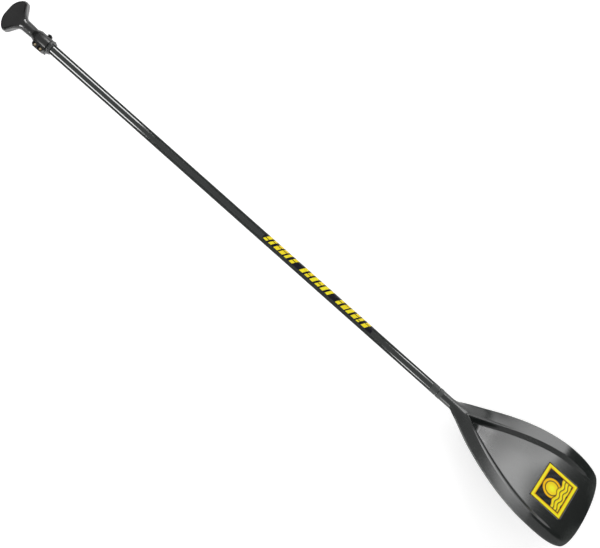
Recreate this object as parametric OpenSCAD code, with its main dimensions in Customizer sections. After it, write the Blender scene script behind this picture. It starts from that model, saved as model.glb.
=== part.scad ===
// Single blade paddle with an adjustable handle. +X runs down the shaft to the blade tip, +Z is up out of the grip's flat face.
// The origin is on the shaft's axis, midway along its bare length. All sizes are in millimetres.

/* [Shaft] */
// Bare shaft between the clamp's end ring and the ferrule
shaft_bare = 1245.2; // [900:1:1500]
// Outside diameter of the shaft tube
shaft_d = 25.4; // [24:0.1:32]
// Wall of the shaft tube and of the handle tube
tube_wall = 1.4; // [1:0.1:2]
// Length of the two slots that let the tube's top close on the handle tube
tube_slot_len = 45; // [20:1:60]
// Length of the foam plug that keeps water out
plug_len = 40; // [20:1:80]

/* [Handle] */
// How far the handle pulls out
travel = 200; // [100:1:220]
// Handle tube left inside the shaft at full reach
overlap = 80; // [60:1:120]
// Depth of the handle tube in the neck
neck_depth = 23; // [18:0.5:25]
// Visible neck between the grip and the clamp
neck_len = 27.8; // [24:0.1:40]
// Neck diameter at the clamp
neck_d = 26.8; // [26.5:0.1:30]
// Neck diameter at the grip
neck_top_d = 28.6; // [28:0.1:34]
// Grip from the top of the palm to the neck
grip_len = 58.5; // [50:0.5:80]
// Grip across its wings
grip_width = 91; // [80:1:120]
// Grip thickness at the palm
grip_thick = 24; // [20:0.5:30]
// Wall of the grip's two shells
grip_wall = 2.2; // [1.8:0.1:3]
// Length of the guide bush
bush_len = 16; // [10:1:25]

/* [Clamp] */
// Length of the split collar
collar_len = 47.4; // [38:0.1:55]
// Wall of the collar outside the shaft
collar_wall = 4.9; // [4:0.1:7]
// Lip that covers the top of the shaft tube
lip_len = 4; // [3:0.1:6]
// Reach of the ears past the collar
ear_reach = 8; // [7:0.1:10]
// Split between the ears
ear_split = 2; // [1.5:0.1:3]
// Diameter of the two eye bolts
bolt_d = 3; // [2.5:0.1:3.5]
// Spacing of the two eye bolts
bolt_pitch = 17; // [15:0.1:19]
// Diameter of the lever's pin
pin_d = 4; // [3:0.1:4.5]
// Radius of the lever's cam
cam_r = 4.5; // [4.2:0.1:5.5]
// Throw of the lever's cam
cam_throw = 0.7; // [0.5:0.05:1]
// Thickness of the lever's curved arm
arm_thick = 3.2; // [2.5:0.1:4]
// Width of the finger tab at the lever's tip
tab_width = 10.6; // [8:0.1:14]
// Length of the end ring below the collar
ring_len = 10; // [8:0.1:20]

/* [Blade] */
// Blade from the neck's end to the tip
blade_len = 420; // [380:1:480]
// Blade across its widest part
blade_width = 257; // [200:1:280]
// Roll of the blade about the shaft
blade_roll = 33; // [0:1:40]
// Cant of the blade against the shaft
blade_cant = 5.2; // [0:0.1:12]
// Thickness at the blade's rim
edge_thick = 3; // [2:0.1:5]
// Thickness of the blade's web
web_thick = 4.2; // [3.5:0.1:6]
// Depth of the step round the middle panel
step_deep = 8; // [0:0.5:9]
// Width of the step's sloping wall
step_slope = 13; // [8:0.5:18]
// How much the middle panel is crowned
crown = 1.5; // [0:0.1:3]
// Round neck of the blade below the ferrule
socket_len = 49; // [40:0.5:80]
// Length of the ferrule
ferrule_len = 20.7; // [10:0.1:40]
// Length of the spigot inside the shaft tube
spigot_len = 60; // [40:1:100]
// Length of the badge along the blade
badge_size = 100; // [60:1:110]
// Width of the badge across the blade
badge_wide = 118; // [60:1:120]
// Badge centre from the blade's tip
badge_from_tip = 98; // [80:1:140]
// Thickness of the badge
badge_thick = 0.6; // [0.4:0.1:1]

/* [Fits] */
// Radial clearance where one piece runs in another
run_fit = 0.05; // [0.02:0.01:0.09]
// Radial glue line between bonded pieces
bond = 0.02; // [0.01:0.01:0.05]
// Gap between pieces that move past each other
air = 0.3; // [0.3:0.05:0.5]

/* [Hidden] */
$fn = 96;
shaft_r = shaft_d / 2;
bore_r = shaft_r - tube_wall;
handle_r = bore_r - air;
handle_bore_r = handle_r - tube_wall;
collar_r = shaft_r + collar_wall;
ring_gap = 1.4;

// stations along X, from the blade end to the grip end
x_tube_end = shaft_bare / 2;
x_neck_blade = x_tube_end + ferrule_len;
x_blade = x_neck_blade + socket_len;
x_ring_end = -shaft_bare / 2;
x_ring = x_ring_end - ring_len;
x_collar_end = x_ring - ring_gap;
x_collar = x_collar_end - collar_len;
x_tube = x_collar + lip_len;
x_neck_end = x_collar - air;
x_neck = x_neck_end - neck_len;
x_grip = x_neck - grip_len;
x_handle = x_neck_end - neck_depth;
x_handle_end = x_tube + travel + overlap;

// clamp, seen along X: the ears are on the -Y side and the lever wraps under the collar
ear_y = collar_r + ear_reach;
ear_low = 8;
ear_high = 15.5;
pocket_z = 7.5;
pocket_long = 12.4;
plate_thick = 1;
bolt_y = -(collar_r + bolt_d / 2 + 0.2);
pin_z = -(ear_low + plate_thick + air + cam_r + cam_throw);
x_ear = x_collar_end - 34.4;
x_bolts = (x_ear + x_collar_end) / 2;
eye_r = pin_d / 2 + 1.8;
eye_wide = 4;
arm_r = collar_r + 1.1;
washer_thick = 0.5;
nut_high = 2.8;
nut_flats = 5.5;
bolt_top = pocket_z + air + washer_thick + nut_high + 0.8;
x_tab = x_bolts + 1.4;

// grip
rivet_x = x_neck_end - 7.5;
rivet_turn = 25;
rivet_r = 1.2;
rivet_head_r = 2.1;
register_len = 2.6;
neck_wall = 1.8;

// blade grid
rows_neck = 6;
rows_flare = 24;
rows_side = 6;
rows_tip = 11;
cols_panel = 6;
cols_step = 2;
cols_flange = 4;
start_r = shaft_r - 0.5;
recess_from = 42;
recess_to = 340;
lean = 0.06;
blade_drop = 2;
badge_at = blade_len - badge_from_tip;
badge_shift = 2.5;
badge_turn = 3;

// ---------- small functions ----------
function clamp01(t) = min(1, max(0, t));
function ease(t) = let (c = clamp01(t)) c * c * (3 - 2 * c);
function mix(a, b, t) = a + (b - a) * t;
function bez(p, t) = let (q = 1 - t)
    q * q * q * p[0] + 3 * q * q * t * p[1] + 3 * q * t * t * p[2] + t * t * t * p[3];
function hump(t) = t <= 0 || t >= 1 ? 0 : sin(180 * t);

// ---------- helpers ----------
module along_x(x) {
    translate([x, 0, 0]) rotate([90, 0, 90]) children();
}

module rod(r, x0, x1) {
    along_x(x0) cylinder(r = r, h = x1 - x0);
}

module turned(points) {
    along_x(0) rotate_extrude() polygon(points);
}

module tube(r_out, r_in, x0, x1) {
    turned([[r_in, x0], [r_out, x0], [r_out, x1], [r_in, x1]]);
}

// A closed solid between two grids of points that share their rows and columns.
module between(top, low) {
    n = len(top);
    m = len(top[0]);
    pts = concat([for (r = top) for (p = r) p], [for (r = low) for (p = r) p]);
    k = n * m;
    skins = [for (i = [0 : n - 2]) for (j = [0 : m - 2]) for (f = [
        [i * m + j, i * m + j + 1, (i + 1) * m + j + 1],
        [i * m + j, (i + 1) * m + j + 1, (i + 1) * m + j],
        [k + i * m + j, k + (i + 1) * m + j + 1, k + i * m + j + 1],
        [k + i * m + j, k + (i + 1) * m + j, k + (i + 1) * m + j + 1]]) f];
    ends = [for (j = [0 : m - 2]) for (f = [
        [j, k + j, k + j + 1],
        [j, k + j + 1, j + 1],
        [(n - 1) * m + j, k + (n - 1) * m + j + 1, k + (n - 1) * m + j],
        [(n - 1) * m + j, (n - 1) * m + j + 1, k + (n - 1) * m + j + 1]]) f];
    sides = [for (i = [0 : n - 2]) for (f = [
        [i * m, k + (i + 1) * m, k + i * m],
        [i * m, (i + 1) * m, k + (i + 1) * m],
        [i * m + m - 1, k + i * m + m - 1, k + (i + 1) * m + m - 1],
        [i * m + m - 1, k + (i + 1) * m + m - 1, (i + 1) * m + m - 1]]) f];
    polyhedron(points = pts, faces = concat(skins, ends, sides), convexity = 8);
}

// ---------- grip ----------
wing_at = 25 / 58.5 * grip_len;
grip_rows = 26;
grip_cols = 28;
function palm_width(x) = x < wing_at
    ? max(12, grip_width / 2 * pow(1 - pow((wing_at - x) / wing_at, 1.8), 1 / 1.8))
    : let (s = flank_t(x, 0, 1, 0)) bez([grip_width / 2, grip_width / 2, neck_top_d / 2 + 0.3, neck_top_d / 2], s);
// The flank is a curve in both directions, so its parameter is found by halving.
function flank_x(t) = bez([wing_at, wing_at + 0.14 * grip_len, wing_at + 0.26 * grip_len, grip_len], t);
function flank_t(x, a, b, n) = let (h = (a + b) / 2)
    n > 18 ? h : flank_x(h) < x ? flank_t(x, h, b, n + 1) : flank_t(x, a, h, n + 1);
function palm_half(x) = let (round_at = 0.15 * grip_len)
    x < round_at ? grip_thick / 2 * pow(1 - pow((round_at - x) / round_at, 2.5), 0.4)
    : mix(grip_thick / 2, neck_top_d / 2, ease((x - 0.62 * grip_len) / (0.31 * grip_len)));
function palm_power(x) = mix(8, 2, ease((x - 0.55 * grip_len) / (0.3 * grip_len)));
function shell_wall(x) = mix(grip_wall, neck_wall, ease((x - 0.7 * grip_len) / (0.2 * grip_len)));
// Sections go from a rounded box to a circle: the n-th powers of y and z, each over its half size, add to one.
function shell_row(x, cut, flat, up) = let (
        w = palm_width(x) - cut,
        b = flat ? 0 : max(0.5, palm_half(x) - cut),
        n = palm_power(x))
    [for (j = [0 : grip_cols]) let (
            even = 180 * j / grip_cols,
            a = even + 8.6 * sin(4 * even),
            far = pow(pow(abs(cos(a)), n) + pow(abs(sin(a)), n), 1 / n)) [
        x_grip + x,
        w * cos(a) / far * up,
        j == 0 || j == grip_cols ? 0 : b * sin(a) / far * up]];

module grip_shell(up) {
    outer = [for (i = [0 : grip_rows]) let (x = grip_len * pow(i / grip_rows, 1.5)) shell_row(x, 0, i == 0, up)];
    inner = [for (i = [0 : grip_rows]) let (
            x = grip_wall + (grip_len - grip_wall) * pow(i / grip_rows, 1.5)) shell_row(x, shell_wall(x), i == 0, up)];
    between(outer, inner);
}

module grip_front_shell() {
    color("#26282a") grip_shell(1);
}

module grip_back_shell() {
    color("#202224") grip_shell(-1);
}

module grip_core() {
    r0 = neck_top_d / 2;
    r1 = neck_d / 2;
    r_in = r0 - neck_wall - bond;
    r_post = 0.7 * (grip_thick / 2 - grip_wall);
    ribs = 5;
    pitch = neck_len / (ribs + 0.6);
    color("#2b2d2f") difference() {
        turned([
            [0, x_neck - 28], [r_post, x_neck - 28], [r_post, x_neck - register_len - 3],
            [r_in, x_neck - register_len], [r_in, x_neck], [r0, x_neck], [r1, x_neck_end], [0, x_neck_end]]);
        rod(handle_r + bond, x_handle, x_neck_end + 1);
        for (i = [1 : ribs]) {
            x = x_neck + i * pitch;
            r = mix(r0, r1, i * pitch / neck_len);
            turned([[r - 0.35, x - 0.4], [r + 1, x - 0.4], [r + 1, x + 0.4], [r - 0.35, x + 0.4]]);
        }
        translate([rivet_x, 0, 0]) rotate([rivet_turn, 0, 0]) {
            cylinder(r = rivet_r + bond, h = 30);
            translate([0, 0, r1 - 0.9]) cylinder(r = rivet_head_r + bond, h = 10);
        }
    }
}

module grip_rivet() {
    seat = neck_d / 2 - 0.9;
    color("#c9cbcc") translate([rivet_x, 0, 0]) rotate([rivet_turn, 0, 0]) {
        translate([0, 0, handle_bore_r - 2]) cylinder(r = rivet_r, h = seat - handle_bore_r + 2);
        translate([0, 0, seat]) cylinder(r = rivet_head_r, h = 0.9);
        translate([0, 0, seat + 0.9]) cylinder(r1 = rivet_head_r, r2 = 0.5 * rivet_head_r, h = 0.6);
    }
}

// ---------- handle tube ----------
module inner_tube() {
    color("#9aa0a4") difference() {
        tube(handle_r, handle_bore_r, x_handle, x_handle_end);
        translate([rivet_x, 0, 0]) rotate([rivet_turn, 0, 0]) cylinder(r = rivet_r + bond, h = 30);
    }
}

module tube_end_plug() {
    post_r = 0.62 * handle_r;
    x1 = x_handle_end + 2;
    x2 = x1 + bush_len + 2 * air;
    color("#1d1e20") turned([
        [0, x_handle_end - 15], [handle_bore_r - bond, x_handle_end - 15], [handle_bore_r - bond, x_handle_end],
        [handle_r, x_handle_end], [handle_r, x1], [post_r, x1], [post_r, x2], [post_r + 2, x2],
        [post_r + 1.2, x2 + 2.5], [0, x2 + 2.5]]);
}

module guide_bush() {
    post_r = 0.62 * handle_r + run_fit;
    r = bore_r - run_fit;
    x1 = x_handle_end + 2 + air;
    color("#d8d9d6") difference() {
        turned([
            [post_r, x1], [r - 0.6, x1], [r, x1 + 1], [r, x1 + bush_len - 1], [r - 0.6, x1 + bush_len],
            [post_r, x1 + bush_len]]);
        translate([x1 - 1, -1, 0]) cube([bush_len + 2, 2, 2 * shaft_r]);
    }
}

// ---------- clamp ----------
module bolt_holes(r, z0, z1) {
    for (s = [-1, 1])
        translate([x_bolts + s * bolt_pitch / 2, bolt_y, z0]) cylinder(r = r, h = z1 - z0);
}

module clamp_collar() {
    lip_r = handle_r + 2.1;
    color("#2a2c2e") difference() {
        union() {
            turned([
                [handle_r + run_fit, x_collar], [lip_r, x_collar], [collar_r - 0.4, x_collar + 11],
                [collar_r, x_collar + 12.5], [collar_r, x_collar_end - 0.8], [collar_r - 0.8, x_collar_end],
                [shaft_r + bond, x_collar_end], [shaft_r + bond, x_tube], [handle_r + run_fit, x_tube]]);
            difference() {
                translate([0, 0, -ear_low]) linear_extrude(height = ear_low + ear_high) polygon([
                    [x_ear, -bore_r], [x_ear + 2.5, -ear_y + 2.8], [x_ear + 6.5, -ear_y],
                    [x_collar_end - 5.5, -ear_y], [x_collar_end - 1, -ear_y + 2.8], [x_collar_end, -bore_r]]);
                rod(shaft_r + collar_wall / 2, x_collar, x_collar_end + 1);
            }
        }
        translate([x_collar - 1, -ear_y - 1, -ear_split / 2])
            cube([collar_len + 2, ear_y + 1 - handle_r + 1, ear_split]);
        bolt_holes(bolt_d / 2 + run_fit, -30, 30);
        for (s = [-1, 1])
            translate([x_bolts + s * bolt_pitch / 2 - pocket_long / 2, -ear_y + 1.8, pocket_z])
                cube([pocket_long, ear_y - 1.8 - collar_r + 3.6, 20]);
    }
}

module cam_plate() {
    color("#b9bcbe") difference() {
        translate([x_ear + 4, -ear_y + 1, -ear_low - plate_thick])
            cube([x_collar_end - x_ear - 7, ear_y - collar_r + 1, plate_thick]);
        bolt_holes(bolt_d / 2 + run_fit, -30, 30);
    }
}

module lever_pin() {
    color("#c3c6c8") translate([0, bolt_y, pin_z])
        rod(pin_d / 2, x_ear + 0.6, x_collar_end - 0.6);
}

module eye_bolt(x) {
    color("#aeb2b4") translate([x, bolt_y, 0]) difference() {
        union() {
            translate([-eye_wide / 2, 0, pin_z]) rod(eye_r, 0, eye_wide);
            translate([0, 0, pin_z]) cylinder(r = bolt_d / 2, h = bolt_top - pin_z);
        }
        translate([-eye_wide, 0, pin_z]) rod(pin_d / 2 + bond, 0, 2 * eye_wide);
    }
}

module eye_bolt_a() {
    eye_bolt(x_bolts - bolt_pitch / 2);
}

module eye_bolt_b() {
    eye_bolt(x_bolts + bolt_pitch / 2);
}

module nut(x) {
    color("#c79a4a") translate([x, bolt_y, pocket_z + air + washer_thick]) difference() {
        cylinder(r = nut_flats / 2 / cos(30), h = nut_high, $fn = 6);
        translate([0, 0, -1]) cylinder(r = bolt_d / 2 + bond, h = nut_high + 2);
    }
}

module nut_a() {
    nut(x_bolts - bolt_pitch / 2);
}

module nut_b() {
    nut(x_bolts + bolt_pitch / 2);
}

module washer(x) {
    color("#b7babc") translate([x, bolt_y, pocket_z + air]) difference() {
        cylinder(r = nut_flats / 2 + 0.35, h = washer_thick);
        translate([0, 0, -1]) cylinder(r = bolt_d / 2 + bond, h = washer_thick + 2);
    }
}

module washer_a() {
    washer(x_bolts - bolt_pitch / 2);
}

module washer_b() {
    washer(x_bolts + bolt_pitch / 2);
}

// A ring sector about the shaft's axis, from angle a0 to a1, both measured from +Y towards +Z.
module sector(r0, r1, a0, a1) {
    far = 3 * r1;
    mid = (a0 + a1) / 2;
    intersection() {
        difference() {
            circle(r = r1);
            circle(r = r0);
        }
        polygon([
            [0, 0], [far * cos(a0), far * sin(a0)], [far * cos(mid), far * sin(mid)],
            [far * cos(a1), far * sin(a1)]]);
    }
}

module cam_lever() {
    r_out = arm_r + arm_thick;
    r_mid = arm_r + arm_thick / 2;
    x0 = x_ear + 0.6;
    x1 = x_collar_end - 0.6;
    pin_far = sqrt(bolt_y * bolt_y + pin_z * pin_z);
    a_pin = atan2(pin_z, bolt_y) + 360;
    // The arm leaves the cam along the line that touches its own curve at a_join.
    a_join = a_pin + acos(r_mid / pin_far);
    a_arm = 322;
    a_tip = 354;
    far = 2 * r_out;
    color("#242628") difference() {
        union() {
            translate([0, bolt_y, pin_z + cam_throw]) rod(cam_r, x0, x1);
            along_x(x0 + 0.2) translate([bolt_y, pin_z]) rotate(a_join + 90)
                translate([0, -arm_thick / 2 + 0.25]) cube([
                    pin_far * sin(a_join - a_pin) + 2, arm_thick - 0.5, x1 - x0 - 0.4]);
            along_x(x0) linear_extrude(height = x1 - x0) sector(arm_r, r_out, a_join - 2, a_tip);
            translate([0, (r_out + 0.4) * cos(a_tip), (r_out + 0.4) * sin(a_tip)]) rod(2.2, x0, x1);
        }
        for (e = [[x0 - 1, x_tab - tab_width / 2], [x_tab + tab_width / 2, x1 + 1]])
            along_x(e[0]) linear_extrude(height = e[1] - e[0]) polygon([
                [0, 0], [far * cos(a_arm), far * sin(a_arm)], [far * cos(a_tip + 20), far * sin(a_tip + 20)]]);
        translate([0, bolt_y, pin_z]) rod(pin_d / 2 + run_fit, x0 - 1, x1 + 1);
        for (s = [-1, 1])
            translate([x_bolts + s * bolt_pitch / 2 - eye_wide / 2 - air, bolt_y, pin_z])
                rod(cam_r + cam_throw + air, 0, eye_wide + 2 * air);
    }
}

module collar_ring() {
    color("#2c2e30") turned([
        [shaft_r + bond, x_ring], [collar_r - 0.2, x_ring], [collar_r + 0.6, x_ring + 1.4],
        [collar_r + 1.6, x_ring + 3.2], [collar_r + 1.6, x_ring + 4.4], [collar_r + 0.2, x_ring + 5.6],
        [collar_r - 1.2, x_ring_end - 0.6], [collar_r - 1.8, x_ring_end],
        [shaft_r + bond, x_ring_end]]);
}

// ---------- shaft ----------
module shaft_tube() {
    color("#17181a") difference() {
        tube(shaft_r, bore_r, x_tube, x_tube_end);
        for (a = [45, 225])
            translate([x_tube - 1, 0, 0]) rotate([a, 0, 0])
                translate([0, -0.75, 0]) cube([tube_slot_len + 1, 1.5, 2 * shaft_r]);
    }
}

module float_plug() {
    x1 = x_tube_end - spigot_len;
    color("#d9dad7") rod(bore_r - bond, x1 - plug_len, x1);
}

module ferrule() {
    r = shaft_r + 0.15;
    x0 = x_tube_end;
    x1 = x_neck_blade;
    color("#4a4d4c") turned([
        [bore_r, x0], [r - 0.3, x0], [r, x0 + 0.5], [r, x1 - 1], [r - 0.9, x1], [bore_r, x1]]);
}

// ---------- blade ----------
// Plan of the blade in its own frame: u runs from the neck's end to the tip, w is across.
half_wide = blade_width / 2;
scale_u = blade_len / 420;
scale_w = half_wide / 128.5;
function plan_part(i, n) = i <= n[0] ? [0, i / n[0]] : let (next = plan_part(i - n[0], [for (k = [1 : 3]) n[k]]))
    [next[0] + 1, next[1]];
plan_rows = [rows_neck, rows_flare, rows_side, rows_tip];
// Fillet at the neck, flare, side and tip, each as a curve along and a curve across.
plan_along = [[-14, 0, 10, 22], [22, 92, 200, 320], [320, 355, 380, 396], [396, 413, 420, 420]];
plan_across = [
    [start_r / scale_w, 12.9, 19.5, 26.5], [26.5, 66, 128.5, 128.5], [128.5, 128.5, 124, 113], [113, 101, 50, 0]];
function plan_u(i) = let (p = plan_part(i, plan_rows)) scale_u * bez(plan_along[p[0]], p[0] == 3 ? 0.975 * p[1] : p[1]);
function plan_w(i) = let (p = plan_part(i, plan_rows)) scale_w * bez(plan_across[p[0]], p[0] == 3 ? 0.975 * p[1] : p[1]);

// The step round the middle panel: its outer line, how far the panel lies down, and how far the flange comes down
// to the panel's level towards the tip.
function step_line(u) = let (x = (u / scale_u - recess_from) / (recess_to - recess_from))
    scale_w * 99 * (x > 1 ? 1 : x * (1.52 - 0.52 * x * x));
function panel_depth(u) = step_deep * ease((u / scale_u - recess_from) / 18);
function flange_fall(u) = step_deep * ease((u / scale_u - 270) / 110);

// Front face without the neck's round, above the rim's plane.
function web_front(u, w, wide) = let (
        a = abs(w), o = min(max(0, step_line(u)), 0.86 * wide), p = o - step_slope,
        inside = ease((o - a) / step_slope),
        flange = -flange_fall(u) - lean * ease((u / scale_u - 20) / 60) * max(0, a - o),
        share = clamp01(a / max(0.1, p)),
        panel = -panel_depth(u) + (p <= 0.1 ? 0 : crown * hump((u / scale_u - 72) / 340) * (1 - share * share)))
    step_line(u) <= 0 ? flange : mix(flange, panel, inside);
function start_at(u) = start_r - 1.3 * clamp01(-u / 14);
function neck_round(u, w) = let (
        v = clamp01((u / scale_u + 6) / 156), r = mix(start_at(u), 74, ease((u / scale_u + 14) / 124)),
        p = mix(0.5, 2, clamp01(u / 44)))
    start_at(u) * (1 - mix(v, ease(v), 0.45)) * pow(max(0, 1 - (w / r) * (w / r)), p);
function sink(u) = blade_drop * ease(u / 120);
function front_z(u, w, wide) = let (o = step_line(u), inside = o <= 0 ? 0 : ease((o - abs(w)) / step_slope))
    web_front(u, w, wide) + neck_round(u, w) * (1 - inside) - sink(u);
function thick_at(u, w, wide) = let (t = mix(web_thick, edge_thick, ease((abs(w) / wide - 0.6) / 0.4)))
    mix(0.5, t, ease((u + 14) / 50));
function back_z(u, w, wide) = let (
        r0 = start_at(u) * (1 - ease(u / (270 * scale_u))), r = mix(start_at(u), 7, clamp01(u / 250)),
        rib = r0 * pow(max(0, 1 - (w / r) * (w / r)), 0.5))
    min(web_front(u, w, wide) - thick_at(u, w, wide) - sink(u), -rib - 0.6 * sink(u) * (rib > 0 ? 1 : 0));

// Columns follow the step's two lines, so that its edges stay crisp.
function column(u, wide, j) = let (
        k = abs(j),
        p = max(step_line(u) - step_slope, mix(0.5 * wide, 4, ease(u / 60))),
        a = min(p, 0.8 * wide),
        o = min(max(step_line(u), a + mix(0.25 * wide, 2, ease(u / 60))), 0.88 * wide),
        s = j < 0 ? -1 : 1)
    s * (k <= cols_panel ? a * pow(k / cols_panel, 1.3)
        : k <= cols_panel + cols_step ? mix(a, o, (k - cols_panel) / cols_step)
        : mix(o, wide, 1 - pow(1 - (k - cols_panel - cols_step) / cols_flange, 1.5)));

module in_blade_frame() {
    translate([x_blade, 0, 0]) rotate([-blade_roll, 0, 0]) rotate([0, -blade_cant, 0]) children();
}

module blade_web() {
    n = rows_neck + rows_flare + rows_side + rows_tip;
    m = cols_panel + cols_step + cols_flange;
    rows = [for (i = [0 : n]) [plan_u(i), i == 0 ? start_at(-14) : plan_w(i)]];
    front = [for (r = rows) [for (j = [-m : m]) let (w = column(r[0], r[1], j))
        [r[0], w, front_z(r[0], w, r[1])]]];
    back = [for (r = rows) [for (j = [-m : m]) let (w = column(r[0], r[1], j))
        [r[0], w, back_z(r[0], w, r[1])]]];
    between(front, back);
}

module blade() {
    bead = 12;
    color("#3b3f3e") union() {
        difference() {
            turned([
                [0, x_tube_end - spigot_len], [bore_r - bond, x_tube_end - spigot_len],
                [bore_r - bond, x_neck_blade], [shaft_r - 0.6, x_neck_blade], [shaft_r + 0.4, x_neck_blade + 1],
                [shaft_r + 0.4, x_neck_blade + bead], [shaft_r, x_neck_blade + bead + 1],
                [shaft_r, x_blade], [start_r + 0.1, x_blade + 1.6], [0, x_blade + 1.6]]);
            rod(bore_r - 3, x_tube_end - spigot_len - 1, x_blade - 8);
        }
        in_blade_frame() blade_web();
    }
}

module blade_badge() {
    n = 12;
    lift = 0.12;
    at = [for (i = [0 : n]) [for (j = [0 : n]) let (
            along = badge_size * (i / n - 0.5),
            across = badge_wide * (j / n - 0.5)) [
        badge_at + along * cos(badge_turn) + across * sin(badge_turn),
        across * cos(badge_turn) - along * sin(badge_turn) - badge_shift]]];
    color("#e8b81c") in_blade_frame() between(
        [for (row = at) [for (p = row) [p[0], p[1], front_z(p[0], p[1], half_wide) + lift + badge_thick]]],
        [for (row = at) [for (p = row) [p[0], p[1], front_z(p[0], p[1], half_wide) + lift]]]);
}

grip_front_shell();
grip_back_shell();
grip_core();
grip_rivet();
inner_tube();
tube_end_plug();
guide_bush();
clamp_collar();
cam_plate();
lever_pin();
eye_bolt_a();
eye_bolt_b();
nut_a();
nut_b();
washer_a();
washer_b();
cam_lever();
collar_ring();
shaft_tube();
float_plug();
ferrule();
blade();
blade_badge();
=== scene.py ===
# %% [markdown]
# # A single blade paddle
# This is the paddle of someone who stands on a board: a palm grip on an inner tube, a lever clamp, a long
# black shaft and a dished blade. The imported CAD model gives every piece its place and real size. This lesson
# dresses it: each cell makes one piece or one finish and says how the real thing is made.

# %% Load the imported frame
import math

import bmesh
import bpy
import numpy as np
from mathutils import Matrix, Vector


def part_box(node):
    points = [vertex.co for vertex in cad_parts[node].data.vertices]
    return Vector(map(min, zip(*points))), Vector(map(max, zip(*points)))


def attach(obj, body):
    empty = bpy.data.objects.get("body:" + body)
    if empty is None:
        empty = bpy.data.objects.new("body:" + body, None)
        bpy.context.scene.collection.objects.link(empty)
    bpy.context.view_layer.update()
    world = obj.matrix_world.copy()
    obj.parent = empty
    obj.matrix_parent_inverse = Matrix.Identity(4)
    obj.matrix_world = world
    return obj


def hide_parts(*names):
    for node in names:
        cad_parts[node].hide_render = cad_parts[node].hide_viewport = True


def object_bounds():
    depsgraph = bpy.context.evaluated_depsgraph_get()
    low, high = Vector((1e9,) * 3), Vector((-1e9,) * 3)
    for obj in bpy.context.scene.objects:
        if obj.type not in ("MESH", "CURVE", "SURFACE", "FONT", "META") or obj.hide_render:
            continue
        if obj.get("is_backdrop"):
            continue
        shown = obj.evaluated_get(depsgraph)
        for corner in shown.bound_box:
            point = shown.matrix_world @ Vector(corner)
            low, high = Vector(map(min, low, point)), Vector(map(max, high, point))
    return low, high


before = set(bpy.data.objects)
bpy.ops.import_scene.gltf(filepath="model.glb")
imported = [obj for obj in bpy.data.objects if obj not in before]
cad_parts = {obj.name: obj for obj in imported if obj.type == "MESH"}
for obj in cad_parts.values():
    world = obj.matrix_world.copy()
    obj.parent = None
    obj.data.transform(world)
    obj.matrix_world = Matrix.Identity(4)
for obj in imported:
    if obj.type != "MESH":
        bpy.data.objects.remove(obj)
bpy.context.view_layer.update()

MM = 0.001

# %% [markdown]
# ## Stations along the shaft
# The shaft's axis is the X axis, so the pieces line up on it like beads. Their ends are read from the frame
# once, and everything modelled later takes its place from these stations.

# %% Read the stations
def span(node):
    """Lowest and highest corner of a CAD node as two arrays."""
    low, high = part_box(node)
    return np.array(low), np.array(high)


x_tube_top, x_tube_end = (corner[0] for corner in span("shaft_tube"))
x_ring, x_ring_end = (corner[0] for corner in span("collar_ring"))
x_grip, x_neck = (corner[0] for corner in span("grip_front_shell"))
x_handle, x_handle_end = (corner[0] for corner in span("inner_tube"))
x_neck_end = span("grip_core")[1][0]
x_neck_blade = span("ferrule")[1][0]
shaft_r = span("shaft_tube")[1][1]
handle_r = span("inner_tube")[1][1]
print(f"shaft: {2 * shaft_r / MM:.1f} mm across, bare from {x_ring_end / MM:.0f} to {x_tube_end / MM:.0f} mm")

# %% [markdown]
# ## Small tools for surfaces
# Most pieces are either turned, like the tubes and rings, or bent out of a grid of points, like the blade.
# Both are a function of two parameters, so the points are worked out as whole arrays. One helper joins a
# grid into quads, and another puts the result into Blender, turned the right way out.

# %% Curves and easing
def ease(t):
    """Goes from 0 to 1 with level ends: three t squared less two t cubed, t held between 0 and 1."""
    c = np.clip(t, 0.0, 1.0)
    return c * c * (3.0 - 2.0 * c)


def rise(x, start, over):
    """Eases from 0 to 1 while x goes over a stretch from its start."""
    return ease((x - start) / over)


def fall(x, start, over):
    """Eases from 1 down to 0 over the stretch."""
    return 1 - rise(x, start, over)


def mix(a, b, t):
    """A share t of the way from a to b."""
    return a + (b - a) * t


def bezier(p, t):
    """A cubic curve through p[0] and p[3] that leans on p[1] and p[2]."""
    q = 1.0 - t
    return q**3 * p[0] + 3 * q * q * t * p[1] + 3 * q * t * t * p[2] + t**3 * p[3]


def hump(t):
    """Half a sine wave between 0 and 1, and nothing outside."""
    return np.where((t > 0) & (t < 1), np.sin(np.pi * np.clip(t, 0, 1)), 0.0)


def rounded(corners, radius, steps=5):
    """A closed profile whose corners are small curves: each corner is cut back by radius, or by less than
    half of a short side, and bridged by a quadratic curve that leans on the old corner."""
    corner = np.array(corners, float)
    before, after = np.roll(corner, 1, 0) - corner, np.roll(corner, -1, 0) - corner
    reach = np.minimum(np.linalg.norm(before, axis=1), np.linalg.norm(after, axis=1)) * 0.45
    back = np.minimum(np.broadcast_to(radius, reach.shape), reach)[:, None]
    a = corner + before / np.linalg.norm(before, axis=1)[:, None] * back
    b = corner + after / np.linalg.norm(after, axis=1)[:, None] * back
    t = np.linspace(0, 1, steps)[None, :, None]
    curve = (1 - t) ** 2 * a[:, None] + 2 * t * (1 - t) * corner[:, None] + t * t * b[:, None]
    return curve.reshape(-1, 2)


# %% Grids into meshes
def quads(rows, columns, close_rows=False):
    """The corners of every cell of a grid, as indices. The last column joins the first, and so do the rows
    if they are closed."""
    i, j = np.meshgrid(np.arange(rows if close_rows else rows - 1), np.arange(columns), indexing="ij")
    i_next, j_next = (i + 1) % rows, (j + 1) % columns
    cells = [i * columns + j, i * columns + j_next, i_next * columns + j_next, i_next * columns + j]
    return np.stack(cells, -1).reshape(-1, 4)


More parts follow.
